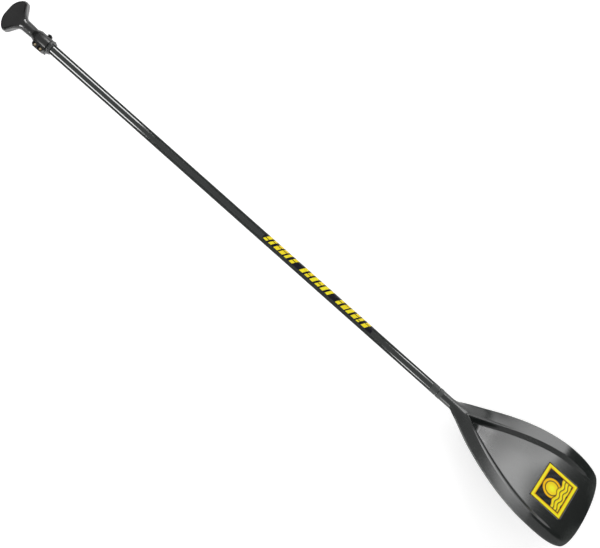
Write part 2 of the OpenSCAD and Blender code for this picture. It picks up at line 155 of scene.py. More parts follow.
def volume(points, faces):
    """Signed volume of a closed mesh of quads: the sum over its triangles of a . (b x c) / 6."""
    a, b, c, d = (points[faces[:, k]] for k in range(4))
    return (np.einsum("ij,ij->i", a, np.cross(b, c)) + np.einsum("ij,ij->i", a, np.cross(c, d))).sum() / 6


def new_object(name, data):
    """Makes an object from a mesh, a light or a camera and links it into the scene."""
    made = bpy.data.objects.new(name, data)
    bpy.context.scene.collection.objects.link(made)
    return made


def settle(piece, body, replaces):
    """Lets a piece ride on a CAD body, and hides the CAD nodes that it stands for."""
    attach(piece, body)
    if replaces:
        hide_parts(*replaces)


def weld_seams(mesh):
    """Joins the points of a mesh that coincide, and drops what has no length."""
    work = bmesh.new()
    work.from_mesh(mesh)
    bmesh.ops.remove_doubles(work, verts=work.verts, dist=1e-7)
    bmesh.ops.dissolve_degenerate(work, edges=work.edges, dist=1e-9)
    work.to_mesh(mesh)
    work.free()


def place(
    name, body, material, slot, points, faces, replaces=(), uv=None, masks=None, weld=False, sharp=None
):
    """Makes a piece from points and quads, outside out, and lets it ride on a CAD body."""
    points = np.asarray(points, float).reshape(-1, 3)
    if volume(points, faces) < 0:
        faces = faces[:, ::-1]
    mesh = bpy.data.meshes.new(name)
    mesh.from_pydata(points, [], faces)
    if uv is not None:
        layer = mesh.uv_layers.new(name="UVMap")
        corner = np.empty(len(mesh.loops), np.int32)
        mesh.loops.foreach_get("vertex_index", corner)
        layer.data.foreach_set("uv", np.asarray(uv, np.float32).reshape(-1, 2)[corner].ravel())
    for key, values in (masks or {}).items():
        layer = mesh.attributes.new(key, "FLOAT", "POINT")
        layer.data.foreach_set("value", np.asarray(values, np.float32).ravel())
    if weld:
        weld_seams(mesh)
    mesh.shade_smooth()
    if sharp is not None:
        mesh.set_sharp_from_angle(angle=math.radians(sharp))
    mesh.materials.append(material)
    print(f"{name}: {len(mesh.polygons)} faces")
    settle(new_object(name, mesh), body, replaces)


def turn(profile, segments=160):
    """Points and quads of a closed profile of (x, r) carried round the X axis: y = r cos a, z = r sin a."""
    angle = np.linspace(0, 2 * np.pi, segments, endpoint=False)
    x, r = np.asarray(profile, float).T
    y, z = r[:, None] * np.cos(angle), r[:, None] * np.sin(angle)
    points = np.stack([np.broadcast_to(x[:, None], y.shape), y, z], -1)
    return points, quads(len(x), segments, close_rows=True)


def softened(part, body, material, width, segments=2, reshape=None):
    """A copy of a CAD node with its loose triangles joined, its flat regions made whole and its edges rounded
    by a bevel. Where it's given, reshape works on the joined mesh first."""
    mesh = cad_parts[part].data.copy()
    mesh.name = part + "_finished"
    work = bmesh.new()
    work.from_mesh(mesh)
    bmesh.ops.remove_doubles(work, verts=work.verts, dist=2e-6)
    bmesh.ops.dissolve_limit(work, angle_limit=math.radians(0.6), verts=work.verts, edges=work.edges)
    if reshape:
        reshape(work)
    for face in work.faces:
        face.smooth = True
    work.to_mesh(mesh)
    work.free()
    mesh.materials.clear()
    mesh.materials.append(material)
    piece = new_object(part + "_finished", mesh)
    bevel = piece.modifiers.new("soft edges", "BEVEL")
    bevel.width, bevel.segments = width, segments
    bevel.limit_method, bevel.angle_limit = "ANGLE", math.radians(35)
    bevel.harden_normals = bevel.use_clamp_overlap = True
    print(f"{part}: edges rounded by {width / MM:.2f} mm")
    settle(piece, body, (part,))


# %% [markdown]
# ## Effects that several finishes share
# Moulded plastic, painted metal and printed film all have the same few marks at different sizes: a fine
# grain, a slow mottling, and hair scratches along the direction of use. Each is a node group, built once and
# placed in each material with its own numbers. Everything is in metres on the piece's own coordinates, so the
# marks keep their real size on every piece.

# %% Node helpers
def node(tree, kind, inputs=None, **settings):
    """Adds a shader node with its settings. An input that is a socket is linked, and any other is a value."""
    made = tree.nodes.new("ShaderNode" + kind)
    for key, value in settings.items():
        setattr(made, key, value)
    for key, value in (inputs or {}).items():
        if isinstance(value, bpy.types.NodeSocket):
            tree.links.new(value, made.inputs[key])
        else:
            made.inputs[key].default_value = value
    return made


def linked(kind, inputs, **settings):
    """Adds a node to the tree that the first socket among its inputs belongs to."""
    tree = next(value for value in inputs.values() if isinstance(value, bpy.types.NodeSocket)).id_data
    return node(tree, kind, inputs, **settings)


def sums(operation, a, b=0.0, c=0.0, clamp=False):
    """One Math node, as its output."""
    return linked("Math", {0: a, 1: b, 2: c}, operation=operation, use_clamp=clamp).outputs[0]


def times(product, *others):
    """The product of two or more values."""
    for other in others:
        product = sums("MULTIPLY", product, other)
    return product


def line(value, gain, offset, clamp=False):
    """A straight line: gain times the value, plus the offset."""
    return sums("MULTIPLY_ADD", value, gain, offset, clamp)


def blend(share, a, b):
    """Mixes two numbers by a share."""
    return linked("Mix", {0: share, 2: a, 3: b}, data_type="FLOAT").outputs[0]


def blend_colours(share, a, b):
    """Mixes two colours by a share; a plain colour is red, green and blue."""
    a, b = (c if isinstance(c, bpy.types.NodeSocket) else (*c, 1.0) for c in (a, b))
    return linked("Mix", {0: share, 6: a, 7: b}, data_type="RGBA").outputs[2]


def slide(value, low, high, to_low=0.0, to_high=1.0):
    """Goes softly from one level to another while a value passes from low to high."""
    inputs = {"Value": value, "From Min": low, "From Max": high, "To Min": to_low, "To Max": to_high}
    return linked("MapRange", inputs, interpolation_type="SMOOTHSTEP").outputs[0]


def steps_of(value, stops, kind="LINEAR"):
    """A ramp of greys through (place, grey) stops."""
    made = linked("ValToRGB", {0: value})
    ramp = made.color_ramp
    ramp.interpolation = kind
    for k, (place_at, grey) in enumerate(stops):
        stop = ramp.elements[k] if k < 2 else ramp.elements.new(place_at)
        stop.position = place_at
        stop.color = (grey, grey, grey, 1.0)
    return made.outputs[0]


def axes(vector):
    """The three parts of a vector."""
    return linked("SeparateXYZ", {0: vector}).outputs


def on_piece(tree):
    """The place of a point on its own piece, in metres."""
    return node(tree, "TexCoord").outputs["Object"]


def noise(at, scale, detail, **more):
    """Smooth noise with a mean of one half."""
    return linked("TexNoise", {"Vector": at, "Scale": scale, "Detail": detail, **more}).outputs["Fac"]


def mask(tree, name):
    """A mask that is stored on the piece's points."""
    return node(tree, "Attribute", attribute_name=name).outputs["Fac"]


def group(name, inputs, outputs):
    """An empty effect, from its inputs' names and defaults and its outputs' names and socket types."""
    tree = bpy.data.node_groups.new(name, "ShaderNodeTree")
    kinds = {float: "NodeSocketFloat", tuple: "NodeSocketVector"}
    for key, value in inputs.items():
        socket = tree.interface.new_socket(key, in_out="INPUT", socket_type=kinds[type(value)])
        socket.default_value = value
    for key, kind in outputs.items():
        tree.interface.new_socket(key, in_out="OUTPUT", socket_type=kind)
    return tree, tree.nodes.new("NodeGroupInput").outputs, tree.nodes.new("NodeGroupOutput").inputs


def use(tree, effect, **inputs):
    """Places an effect in a material, with underscores in input names standing for spaces."""
    named = {key.replace("_", " "): value for key, value in inputs.items()}
    return node(tree, "Group", named, node_tree=effect).outputs


# %% Grain of a moulded or sprayed surface
def build_grain():
    """Mottle is a slow noise for colour and gloss. Normal is bumped by a fine noise of the given depth."""
    tree, given, out = group(
        "surface grain",
        {"Fine per metre": 2500.0, "Slow per metre": 40.0, "Depth": 0.00002},
        {"Mottle": "NodeSocketFloat", "Normal": "NodeSocketVector"},
    )
    at = on_piece(tree)
    fine = noise(at, given["Fine per metre"], 3.0)
    slow = noise(at, given["Slow per metre"], 5.0)
    bump = linked("Bump", {"Height": fine, "Distance": given["Depth"], "Strength": 1.0})
    tree.links.new(slow, out["Mottle"])
    tree.links.new(bump.outputs["Normal"], out["Normal"])
    return tree


# %% Hair scratches along the piece
def build_scratches():
    """Mask is a noise stretched along X and cut to its peaks, so only thin lines are left, in patches."""
    tree, given, out = group(
        "hair scratches",
        {"Across per metre": 900.0, "Along per metre": 14.0, "Cover": 0.3},
        {"Mask": "NodeSocketFloat"},
    )
    at = on_piece(tree)
    scales = (given["Along per metre"], given["Across per metre"], given["Across per metre"])
    stretched = {k: times(part, scales[k]) for k, part in enumerate(axes(at))}
    lines = noise(linked("CombineXYZ", stretched).outputs[0], 1.0, 2.0)
    patches = noise(at, 18.0, 2.0)
    peaks = line(lines, 9.0, -5.4, clamp=True)
    cover = line(patches, 4.0, sums("SUBTRACT", given["Cover"], 2.2), clamp=True)
    tree.links.new(times(peaks, cover), out["Mask"])
    return tree


# %% Carbon cloth
def build_weave():
    """Twill cloth on UV in metres: two sets of tows cross, and which lies on top steps along the diagonal.
    Shade is the tow's round: half a sine wave across its width."""
    tree, given, out = group(
        "twill weave",
        {"Tows per metre": 420.0, "Place": (0.0, 0.0, 0.0)},
        {"Warp": "NodeSocketFloat", "Shade": "NodeSocketFloat"},
    )
    u, v = (times(part, given["Tows per metre"]) for part in axes(given["Place"])[:2])
    step = sums("ADD", sums("FLOOR", u), sums("FLOOR", v))
    warp = sums("LESS_THAN", sums("FLOORED_MODULO", step, 4.0), 2.0)
    across = blend(warp, sums("FRACT", u), sums("FRACT", v))
    tree.links.new(warp, out["Warp"])
    tree.links.new(sums("SINE", times(across, math.pi)), out["Shade"])
    return tree


grain, scratches, weave = build_grain(), build_scratches(), build_weave()
print("effects:", grain.name, "/", scratches.name, "/", weave.name)


def hairs(tree, across, along, cover):
    """The mask of the hair scratches, from their numbers per metre and their cover."""
    return use(tree, scratches, Across_per_metre=across, Along_per_metre=along, Cover=cover)["Mask"]

# %% [markdown]
# ## Finishes
# Nearly everything here is black, so the finishes differ in how they hold light. The shaft is painted and
# glossy, the clamp and grip are satin nylon, and the blade is glass-filled nylon, matte and faintly green.
# Each material writes its steady numbers straight on the shader, and the effects move only what varies.

# %% A start for every material
def finish(name, colour, roughness, **steady):
    """A Principled material with its steady values, given back with its tree and shader."""
    material = bpy.data.materials.new(name)
    material.use_nodes = True
    tree = material.node_tree
    shader = tree.nodes["Principled BSDF"]
    shader.inputs["Base Color"].default_value = (*colour, 1.0)
    shader.inputs["Roughness"].default_value = roughness
    for key, value in steady.items():
        shader.inputs[key.replace("_", " ")].default_value = value
    return material, tree, shader


def dress(shader, colour, roughness, normal=None):
    """Links what varies over the surface to the shader."""
    tree = shader.id_data
    tree.links.new(colour, shader.inputs["Base Color"])
    tree.links.new(roughness, shader.inputs["Roughness"])
    if normal is not None:
        tree.links.new(normal, shader.inputs["Normal"])


def moulded(name, dark, light, roughness, fine, depth=0.00002, wear=0.0, ior=1.5):
    """Moulded plastic: colour and gloss drift between two near shades, under a fine grain and scratches."""
    material, tree, shader = finish(name, dark, roughness, IOR=ior)
    feel = use(tree, grain, Fine_per_metre=fine, Slow_per_metre=35.0, Depth=depth)
    body = blend_colours(line(feel["Mottle"], 2.4, -0.7, clamp=True), dark, light)
    lines = hairs(tree, 900.0, 14.0, 0.25 + wear)
    pale = [min(1.0, 2.2 * c + 0.02) for c in light]
    worn = blend_colours(times(lines, 0.25 + wear), body, pale)
    gloss = line(feel["Mottle"], 0.16, roughness - 0.08)
    dress(shader, worn, line(lines, 0.12, gloss, clamp=True), feel["Normal"])
    return material


# %% Plastics
nylon = (0.012, 0.012, 0.012), (0.020, 0.021, 0.020)
grip_plastic = moulded(
    "satin grip nylon", (0.005, 0.005, 0.005), (0.010, 0.010, 0.010), 0.20, 1600.0, 0.000006, ior=1.6
)
neck_plastic = moulded("neck nylon", *nylon, 0.42, 1600.0)
clamp_plastic = moulded("clamp nylon", *nylon, 0.28, 1400.0, 0.00001, wear=0.1)
ring_plastic = moulded(
    "gloss ring nylon", (0.024, 0.026, 0.026), (0.034, 0.036, 0.036), 0.18, 900.0, 0.000005, ior=1.8
)
ferrule_plastic = moulded(
    "ferrule nylon", (0.044, 0.048, 0.047), (0.058, 0.063, 0.061), 0.50, 1100.0, 0.00003
)
bush_plastic = moulded("white acetal", (0.62, 0.63, 0.60), (0.74, 0.75, 0.72), 0.45, 1500.0)
plug_foam = moulded("closed cell foam", (0.60, 0.60, 0.57), (0.76, 0.76, 0.73), 0.9, 700.0, 0.0003)


# %% Blade plastic
def build_blade_plastic():
    """Glass-filled nylon: short pale fibres in near-black, slow flow marks, and pale nicks on the rim that are
    wear and, on the lower edge near the neck, a painted highlight. The neck is matte, and the lower side of
    the step's wall has its shine cut as painted shade."""
    material, tree, shader = finish("glass filled nylon", (0.012, 0.014, 0.013), 0.20, IOR=1.62)
    feel = use(tree, grain, Fine_per_metre=1300.0, Slow_per_metre=9.0, Depth=0.000012)
    fibres = noise(on_piece(tree), 650.0, 4.0, Roughness=0.7)
    speck = line(fibres, 5.0, -2.4, clamp=True)
    drift = line(feel["Mottle"], 2.0, -0.5, clamp=True)
    body = blend_colours(drift, (0.010, 0.012, 0.011), (0.016, 0.019, 0.018))
    flecked = blend_colours(times(speck, 0.5), body, (0.030, 0.034, 0.032))
    lines = hairs(tree, 500.0, 20.0, 0.35)
    marked = blend_colours(times(lines, 0.35), flecked, (0.07, 0.075, 0.072))
    # Pale nicks on the rim: wear, and on the lower edge near the neck also a painted highlight.
    nicks_and_rim_highlight = times(mask(tree, "rim"), line(fibres, 3.0, -1.1, clamp=True), 0.9)
    worn = blend_colours(nicks_and_rim_highlight, marked, (0.42, 0.44, 0.42))
    matte = mask(tree, "matte")
    dulled = sums("MULTIPLY", matte, 2.5, clamp=True)
    gloss = line(feel["Mottle"], 0.05, sums("ADD", matte, 0.12))
    dulled = blend_colours(dulled, worn, (0.052, 0.057, 0.055))
    dress(shader, dulled, line(lines, 0.06, gloss, clamp=True), feel["Normal"])
    # Painted shade: the wall mask cuts the specular level on the lower side of the step's wall.
    tree.links.new(line(mask(tree, "wall"), -0.45, 0.5), shader.inputs["Specular IOR Level"])
    return material


blade_plastic = build_blade_plastic()


# %% Metals
def metal(name, dark, light, roughness, marks=0.2, fine=900.0, depth=0.000004, metallic=1.0, **steady):
    """Metal whose colour drifts between two shades, with scratches along X as its brushing."""
    material, tree, shader = finish(name, dark, roughness, Metallic=metallic, **steady)
    feel = use(tree, grain, Fine_per_metre=fine, Slow_per_metre=60.0, Depth=depth)
    lines = hairs(tree, 2600.0, 30.0, 0.2)
    body = blend_colours(line(feel["Mottle"], 2.0, -0.5, clamp=True), dark, light)
    gloss = line(feel["Mottle"], 0.10, roughness - 0.05)
    dress(shader, body, line(lines, marks, gloss, clamp=True), feel["Normal"])
    return material


def quiet_edges(material, start, end, low, beyond=None):
    """Lets a gloss surface lose its shine where it turns away: its specular level falls between two facings.
    Beyond an X, given with its width and a level of its own, the edge goes to that level."""
    tree = material.node_tree
    facing = node(tree, "LayerWeight", {"Blend": 0.5}).outputs["Facing"]
    if beyond:
        x, wide, level = beyond
        low = slide(axes(on_piece(tree))[0], x, x + wide, low, level)
    shine = slide(facing, start, end, 0.5, low)
    tree.links.new(shine, tree.nodes["Principled BSDF"].inputs["Specular IOR Level"])


steel = metal("zinc plated steel", (0.50, 0.51, 0.52), (0.64, 0.65, 0.66), 0.30)
nut_brass = metal("brass", (0.92, 0.64, 0.28), (1.0, 0.80, 0.45), 0.22)
rivet_metal = metal("rivet aluminium", (0.20, 0.20, 0.20), (0.28, 0.28, 0.27), 0.42)
shaft_paint = metal(
    "gloss black paint", (0.010, 0.013, 0.012), (0.014, 0.018, 0.017), 0.10, marks=0.03, metallic=0.0,
    fine=90.0, depth=0.0000005, IOR=1.75,
)
quiet_edges(shaft_paint, 0.22, 0.32, 0.05)
quiet_edges(grip_plastic, 0.42, 0.52, 0.05, (x_grip + 0.022, 0.006, 1.0))


# %% Handle tube's metal
def build_handle_metal():
    """Satin anodised tube with a dark height scale: a mark every 10 mm, and a longer one every 50 mm."""
    material, tree, shader = finish("anodised tube", (0.42, 0.43, 0.44), 0.32, Metallic=1.0)
    feel = use(tree, grain, Fine_per_metre=500.0, Slow_per_metre=25.0, Depth=0.000004)
    lines = hairs(tree, 2600.0, 10.0, 0.7)
    body = blend_colours(feel["Mottle"], (0.40, 0.41, 0.42), (0.52, 0.53, 0.54))
    at = axes(on_piece(tree))
    along = sums("SUBTRACT", at[0], x_handle)
    marks = []
    for pitch, wide, above in ((0.010, 0.0008, 0.0085), (0.050, 0.0012, 0.0060)):
        near = sums("LESS_THAN", sums("FLOORED_MODULO", along, pitch), wide)
        marks.append(times(near, sums("GREATER_THAN", at[2], above)))
    scaled = blend_colours(sums("MAXIMUM", *marks), body, (0.03, 0.03, 0.03))
    dress(shader, scaled, line(lines, 0.18, 0.28), feel["Normal"])
    return material


handle_metal = build_handle_metal()
print("materials:", len(bpy.data.materials))

# %% [markdown]
# ## The blade
# The blade is one moulding: a round neck that spreads into a thin dished web, stiffened by a step round its
# middle panel. It could be built from a few big patches, but the step has to fade towards the tip without a
# seam. So the whole moulding is one loft, from the spigot inside the shaft to the tip. Each row is a closed
# section, and its columns follow the step's two lines so that the edges stay crisp. The drawing below is in
# millimetres, in the blade's own frame: u runs to the tip, w goes across and z is out of the front.

# %% The blade's plan
blade_len = 420.0
half_wide = 128.5
blade_roll = math.radians(33.0)
blade_cant = math.radians(5.2)
socket_len = 49.0
neck_r = shaft_r / MM
web_thick, edge_thick, root_thick = 4.2, 3.0, 0.5
melt_from = -14.0
x_blade = x_neck_blade / MM + socket_len


def blade_plan():
    """Half outline of the blade as four joined curves: the fillet at the neck, the flare, the side and the
    tip. Each curve is its places along, its places across and its number of rows."""
    curves = [
        ([melt_from, 0, 10, 22], [neck_r, 12.9, 19.5, 26.5], 14),
        ([22, 92, 200, 320], [26.5, 66, half_wide, half_wide], 140),
        ([320, 355, 380, 396], [half_wide, half_wide, 124, 113], 36),
        ([396, 413, blade_len, blade_len], [113, 101, 50, 0], 40),
    ]
    u, w = [], []
    for k, (along, across, rows) in enumerate(curves):
        t = np.linspace(0, 1, rows + 1)[(0 if k == 0 else 1):]
        u.append(bezier(along, t))
        w.append(bezier(across, t))
    return np.concatenate(u), np.concatenate(w)


plan_u, plan_w = blade_plan()
print(f"blade plan: {len(plan_u)} rows, {plan_w.max() * 2:.0f} mm across")

# %% The blade's front
recess_from, recess_to = 42.0, 340.0
step_half, step_deep, step_slope = 99.0, 8.0, 13.0
fade_from, fade_over = 290.0, 120.0
shoulder_wide, shoulder_lean = 4.0, 0.16
lip_high, lip_reach = 0.7, 3.0
crown, blade_drop, tip_drop = 2.2, 2.0, 3.4
neck_spread, rib_long, rib_low = 74.0, 270.0, 7.0


def step_line(u):
    """Outer line of the step: a cubic that rises from 0 at the point of the V and levels off."""
    x = np.clip((u - recess_from) / (recess_to - recess_from), None, 1.0)
    return step_half * x * (1.52 - 0.52 * x * x)


def panel_depth(u):
    """How far the middle panel lies below the flange's level, from the V on."""
    return step_deep * rise(u, recess_from, 52.0)


def flange_fall(u):
    """How far the flange has come down to the panel's level; this is what fades the step out."""
    return step_deep * rise(u, fade_from, fade_over)


def web_front(u, w, wide):
    """Front without the neck: the flanges fall away to the rim, with a soft shoulder before the wall that
    drops to the crowned panel."""
    a = np.abs(w)
    outer = np.minimum(np.maximum(step_line(u), 0.0), 0.86 * wide)
    inner = outer - step_slope
    lean = rise(u, 20.0, 60.0) * mix(0.10, 0.045, rise(u, 80.0, 160.0))
    flange = -flange_fall(u) - lean * np.maximum(a - outer, 0.0)
    share = np.clip(a / np.maximum(inner, 0.1), 0, 1)
    crowned = 1 - share**2 * np.where(w < 0, 0.4, 1.0) * fall(u, 210.0, 90.0)
    swell = np.where(inner <= 0.1, 0.0, crown * hump((u - 72.0) / 340.0) * crowned)
    inside = ease((outer - a) / step_slope)
    shoulder = shoulder_lean * (w < 0) * np.clip(outer - a + shoulder_wide, 0.0, shoulder_wide)
    shoulder = shoulder * (1 - flange_fall(u) / step_deep)
    flange = flange - shoulder * ease((u - recess_from - 8.0) / 24.0)
    return np.where(step_line(u) <= 0, flange, mix(flange, swell - panel_depth(u), inside))


def neck_round(u, w):
    """The neck's round as it sinks into the web: it loses height and spreads from a circle to a low swell."""
    t = np.clip((u + 6.0) / 156.0, 0, 1)
    r = mix(neck_r, neck_spread, rise(u, melt_from, 124.0))
    power = mix(0.5, 2.0, np.clip(u / 44.0, 0, 1))
    return neck_r * (1 - mix(t, ease(t), 0.45)) * np.maximum(0.0, 1 - (w / r) ** 2) ** power


def sag(u):
    """How far the web lies below its straight line: a dip past the neck, then a slow fall to the tip."""
    return blade_drop * ease(u / 120.0) + tip_drop * (np.maximum(u - 120.0, 0.0) / 300.0) ** 1.3


def front_z(u, w, wide):
    """Front height: the web, the neck's round outside the recess, and a low lip round the point of the V."""
    past = step_line(u) - np.abs(w)
    inside = np.where(step_line(u) <= 0, 0.0, ease(past / step_slope))
    near = np.minimum(np.abs(past), np.hypot(u - recess_from, w / 0.5))
    lip = lip_high * np.exp(-((near / lip_reach) ** 2)) * rise(u, 30.0, 16.0)
    lip = lip * (1 - ease((u - np.where(w < 0, 54.0, 120.0)) / np.where(w < 0, 26.0, 120.0)))
    return web_front(u, w, wide) + neck_round(u, w) * (1 - inside) + lip - sag(u)


def back_z(u, w, wide):
    """Back height: a web's thickness behind the front, or the middle rib where that stands prouder."""
    near_edge = ease((np.abs(w) / wide - 0.6) / 0.4)
    thick = mix(root_thick, mix(web_thick, edge_thick, near_edge), rise(u, melt_from, 50.0))
    drop = sag(u)
    rib_high = neck_r * fall(u, 0.0, rib_long)
    rib_wide = mix(neck_r, rib_low, np.clip(u / 250.0, 0, 1))
    rib = rib_high * np.maximum(0.0, 1 - (w / rib_wide) ** 2) ** 0.5
    return np.minimum(web_front(u, w, wide) - thick - drop, -rib - 0.6 * drop * (rib > 0))


# %% Rows and columns of the blade
columns_panel, columns_step, columns_flange, columns_rim = 34, 20, 28, 9


def blade_columns(u, wide):
    """Places across one half, from the middle out: panel, wall and flange, spaced to follow the step."""
    first = np.maximum(step_line(u) - step_slope, mix(0.5 * wide, 4.0, ease(u / 60.0)))
    a = np.minimum(first, 0.8 * wide)
    o = np.minimum(np.maximum(step_line(u), a + mix(0.25 * wide, 2.0, ease(u / 60.0))), 0.88 * wide)
    panel = a * np.linspace(0, 1, columns_panel + 1)[None, :] ** 1.1
    wall = mix(a, o, np.linspace(0, 1, columns_step + 1)[None, 1:])
    flange = mix(o, wide, 1 - (1 - np.linspace(0, 1, columns_flange + 1)[None, 1:]) ** 1.3)
    return np.concatenate([panel, wall, flange], 1)


def blade_sections():
    """Closed sections of the web as (row, column, uwz): front from side to side, round the rim, and back."""
    tangent_u, tangent_w = np.gradient(plan_u), np.gradient(plan_w)
    long = np.hypot(tangent_u, tangent_w)
    out_u, out_w = -tangent_w / long, tangent_u / long
    out_u[-1], out_w[-1] = 1.0, 0.0
    r = 0.5 * mix(root_thick, edge_thick, rise(plan_u, melt_from, 50.0))
    inset_u, inset_w = plan_u - r * out_u, np.maximum(plan_w - r * out_w, 0.0)
    inset_w[-1] = 0.0
    u = inset_u[:, None]
    wide = np.maximum(np.interp(inset_u, plan_u, plan_w), 0.5)[:, None]
    half = blade_columns(u, wide) * (inset_w[:, None] / wide)
    w = np.concatenate([-half[:, :0:-1], half], 1)
    front, back = front_z(u, w, wide), back_z(u, w, wide)
    turn_by = np.linspace(0, np.pi, columns_rim + 2)[None, 1:-1]
    mid, thick = (front[:, -1:] + back[:, -1:]) / 2, (front[:, -1:] - back[:, -1:]) / 2
    rim_u = u + (r * out_u)[:, None] * np.sin(turn_by)
    rim_w = inset_w[:, None] + (r * out_w)[:, None] * np.sin(turn_by)
    rim_z = mid + thick * np.cos(turn_by)
    flat_u = np.broadcast_to(u, w.shape)
    section_u = np.concatenate([flat_u, rim_u, flat_u, rim_u[:, ::-1]], 1)
    section_w = np.concatenate([w, rim_w, w[:, ::-1], -rim_w[:, ::-1]], 1)
    section_z = np.concatenate([front, rim_z, back[:, ::-1], rim_z[:, ::-1]], 1)
    return np.stack([section_u, section_w, section_z], -1)


def blade_to_frame(points):
    """From the blade's drawing in mm to the shared frame in metres: cant about the neck's end, then roll
    about the shaft. The cant grows over the neck's last stretch, so the neck bends and doesn't kink."""
    u, w, z = np.moveaxis(points, -1, 0)
    cant = blade_cant * rise(u, -25.0, 65.0)
    x = x_blade + u * np.cos(cant) - z * np.sin(cant)
    up = u * np.sin(cant) + z * np.cos(cant)
    y = w * math.cos(blade_roll) + up * math.sin(blade_roll)
    return np.stack([x, y, up * math.cos(blade_roll) - w * math.sin(blade_roll)], -1) * MM


# %% Loft the blade
web_from = melt_from - 1.0
spigot_long, spigot_step, bead_high = 80.7, 1.42, 0.4


def blade_masks(u, w, neck_at):
    """Masks for the plastic: pale nicks on the rim, which are wear and, on the lower edge near the neck, a
    painted highlight; matte on the neck and its bead; painted shade on the lower side of the step's wall.
    """
    across = np.abs(w)
    wide = np.maximum(np.interp(u, plan_u, plan_w), 1.0)
    near_tip = rise(u, 380.0, 34.0)
    rim = np.maximum(ease((across - wide + 5.0) / 4.0), near_tip * ease((across / wide - 0.2) / 0.8))
    rim = np.where(u < 20.0, 0.0, rim)
    # Full strength only on the lower edge near the neck, where the pale rim is a painted highlight; elsewhere
    # it is faint wear.
    rim = rim * mix(0.25, 1.0, (w < 0) * fall(u, 200.0, 120.0))
    # Painted shade: only the lower side of the step's wall, which loses its shine in the material.
    wall = hump((step_line(u) - across) / step_slope) * (w < 0) * fall(u, 270.0, 60.0)
    on_bead = (1 - ease((u - neck_at - 12.5) / 1.5)) * ease((u - neck_at - 1.5) / 0.3)
    matte = 0.06 * fall(u, melt_from, 60.0) + 0.34 * on_bead
    return {"rim": rim, "matte": matte, "wall": wall}


def build_blade():
    """Rows: the spigot, the neck with its bead, and the web, whose first sections melt out of a circle."""
    web = blade_sections()
    angle = np.unwrap(np.arctan2(web[0, :, 1], web[0, :, 2] + 1e-9))
    circle = np.stack([np.sin(angle), np.cos(angle)], -1)
    neck_at = x_neck_blade / MM - x_blade
    spigot_at, spigot_r, bead_r = neck_at - spigot_long, neck_r - spigot_step, neck_r + bead_high
    profile = rounded(
        [
            (spigot_at, 0.0), (spigot_at, spigot_r), (neck_at, spigot_r), (neck_at + 1.3, neck_r - 1.3),
            (neck_at + 1.7, bead_r), (neck_at + 12.0, bead_r), (neck_at + 13.0, neck_r),
            (web_from, neck_r), (web_from, 0.0),
        ],
        0.5,
        4,
    )
    profile = profile[(profile[:, 1] > 0.6) & (profile[:, 0] < web_from - 0.6)]
    plain = np.linspace(neck_at + 14.0, web_from, 26)
    plain = np.stack([plain, np.full_like(plain, neck_r)], -1)
    profile = np.concatenate([[(spigot_at, 0.0)], profile, plain])
    neck = np.empty((len(profile), *web[0].shape))
    neck[..., 0] = profile[:, :1]
    neck[..., 1:] = profile[:, 1, None, None] * circle
    melt = rise(web[:, :, 0], melt_from, 26.0)[..., None]
    web[..., 1:] = mix(neck_r * circle, web[..., 1:], melt)
    sections = np.concatenate([neck, web])
    place(
        "blade_moulding", "shaft", blade_plastic, "blade_plastic", blade_to_frame(sections),
        quads(*sections.shape[:2]), ("blade",),
        masks=blade_masks(sections[..., 0], sections[..., 1], neck_at), weld=True,
    )


build_blade()

# %% [markdown]
# ## Walls, tubes and slots
# A tube, a shell and a stuck-on film are all a wall between two surfaces. One helper builds them from two
# grids of points. A mask says which cells are there, so a slot is only a patch of cells left out, and the
# helper closes the wall along every free edge.

# %% Walls between two grids
def shell(outer, inner, keep=None, around=True):
    """Points and quads of the wall between two grids: both faces of the kept cells, and a side wherever a
    kept cell has no kept neighbour. A wall that goes around joins its last column to its first."""
    rows, columns = outer.shape[:2]
    under = rows * columns
    if keep is None:
        keep = np.ones((rows - 1, columns if around else columns - 1), bool)
    near = np.pad(keep, 1)
    if around:
        near[:, 0], near[:, -1] = near[:, -2], near[:, 1].copy()
    i, j = np.nonzero(keep)
    after = (j + 1) % columns
    below = i + 1
    cell = columns * np.stack([i, i, below, below], -1) + np.stack([j, after, after, j], -1)
    beyond = np.stack([near[i, j + 1], near[i + 1, j + 2], near[i + 2, j + 1], near[i + 1, j]], -1)
    faces = [cell, cell[:, ::-1] + under]
    for k in range(4):
        free = ~beyond[:, k]
        a, b = cell[free, k], cell[free, (k + 1) % 4]
        faces.append(np.stack([b, a, a + under, b + under], -1))
    return np.concatenate([outer.reshape(-1, 3), inner.reshape(-1, 3)]), np.concatenate(faces)


def round_grid(x, r, angle):
    """A grid of rows at x with radius r, and columns at the angles: y = r cos a, z = r sin a."""
    x, r = np.broadcast_arrays(np.asarray(x, float), np.asarray(r, float))
    y, z = r[:, None] * np.cos(angle), r[:, None] * np.sin(angle)
    return np.stack([np.broadcast_to(x[:, None], y.shape), y, z], -1)


# %% [markdown]
# ## The shaft
# The shaft is one long alloy tube with gloss paint. Its top is slit twice, so that the clamp can squeeze it
# onto the handle tube. The ferrule closes the joint between the tube and the blade's neck.

# %% Shaft tube and ferrule
tube_wall = 1.4 * MM
slot_long, slot_wide = 45.0 * MM, 1.5 * MM


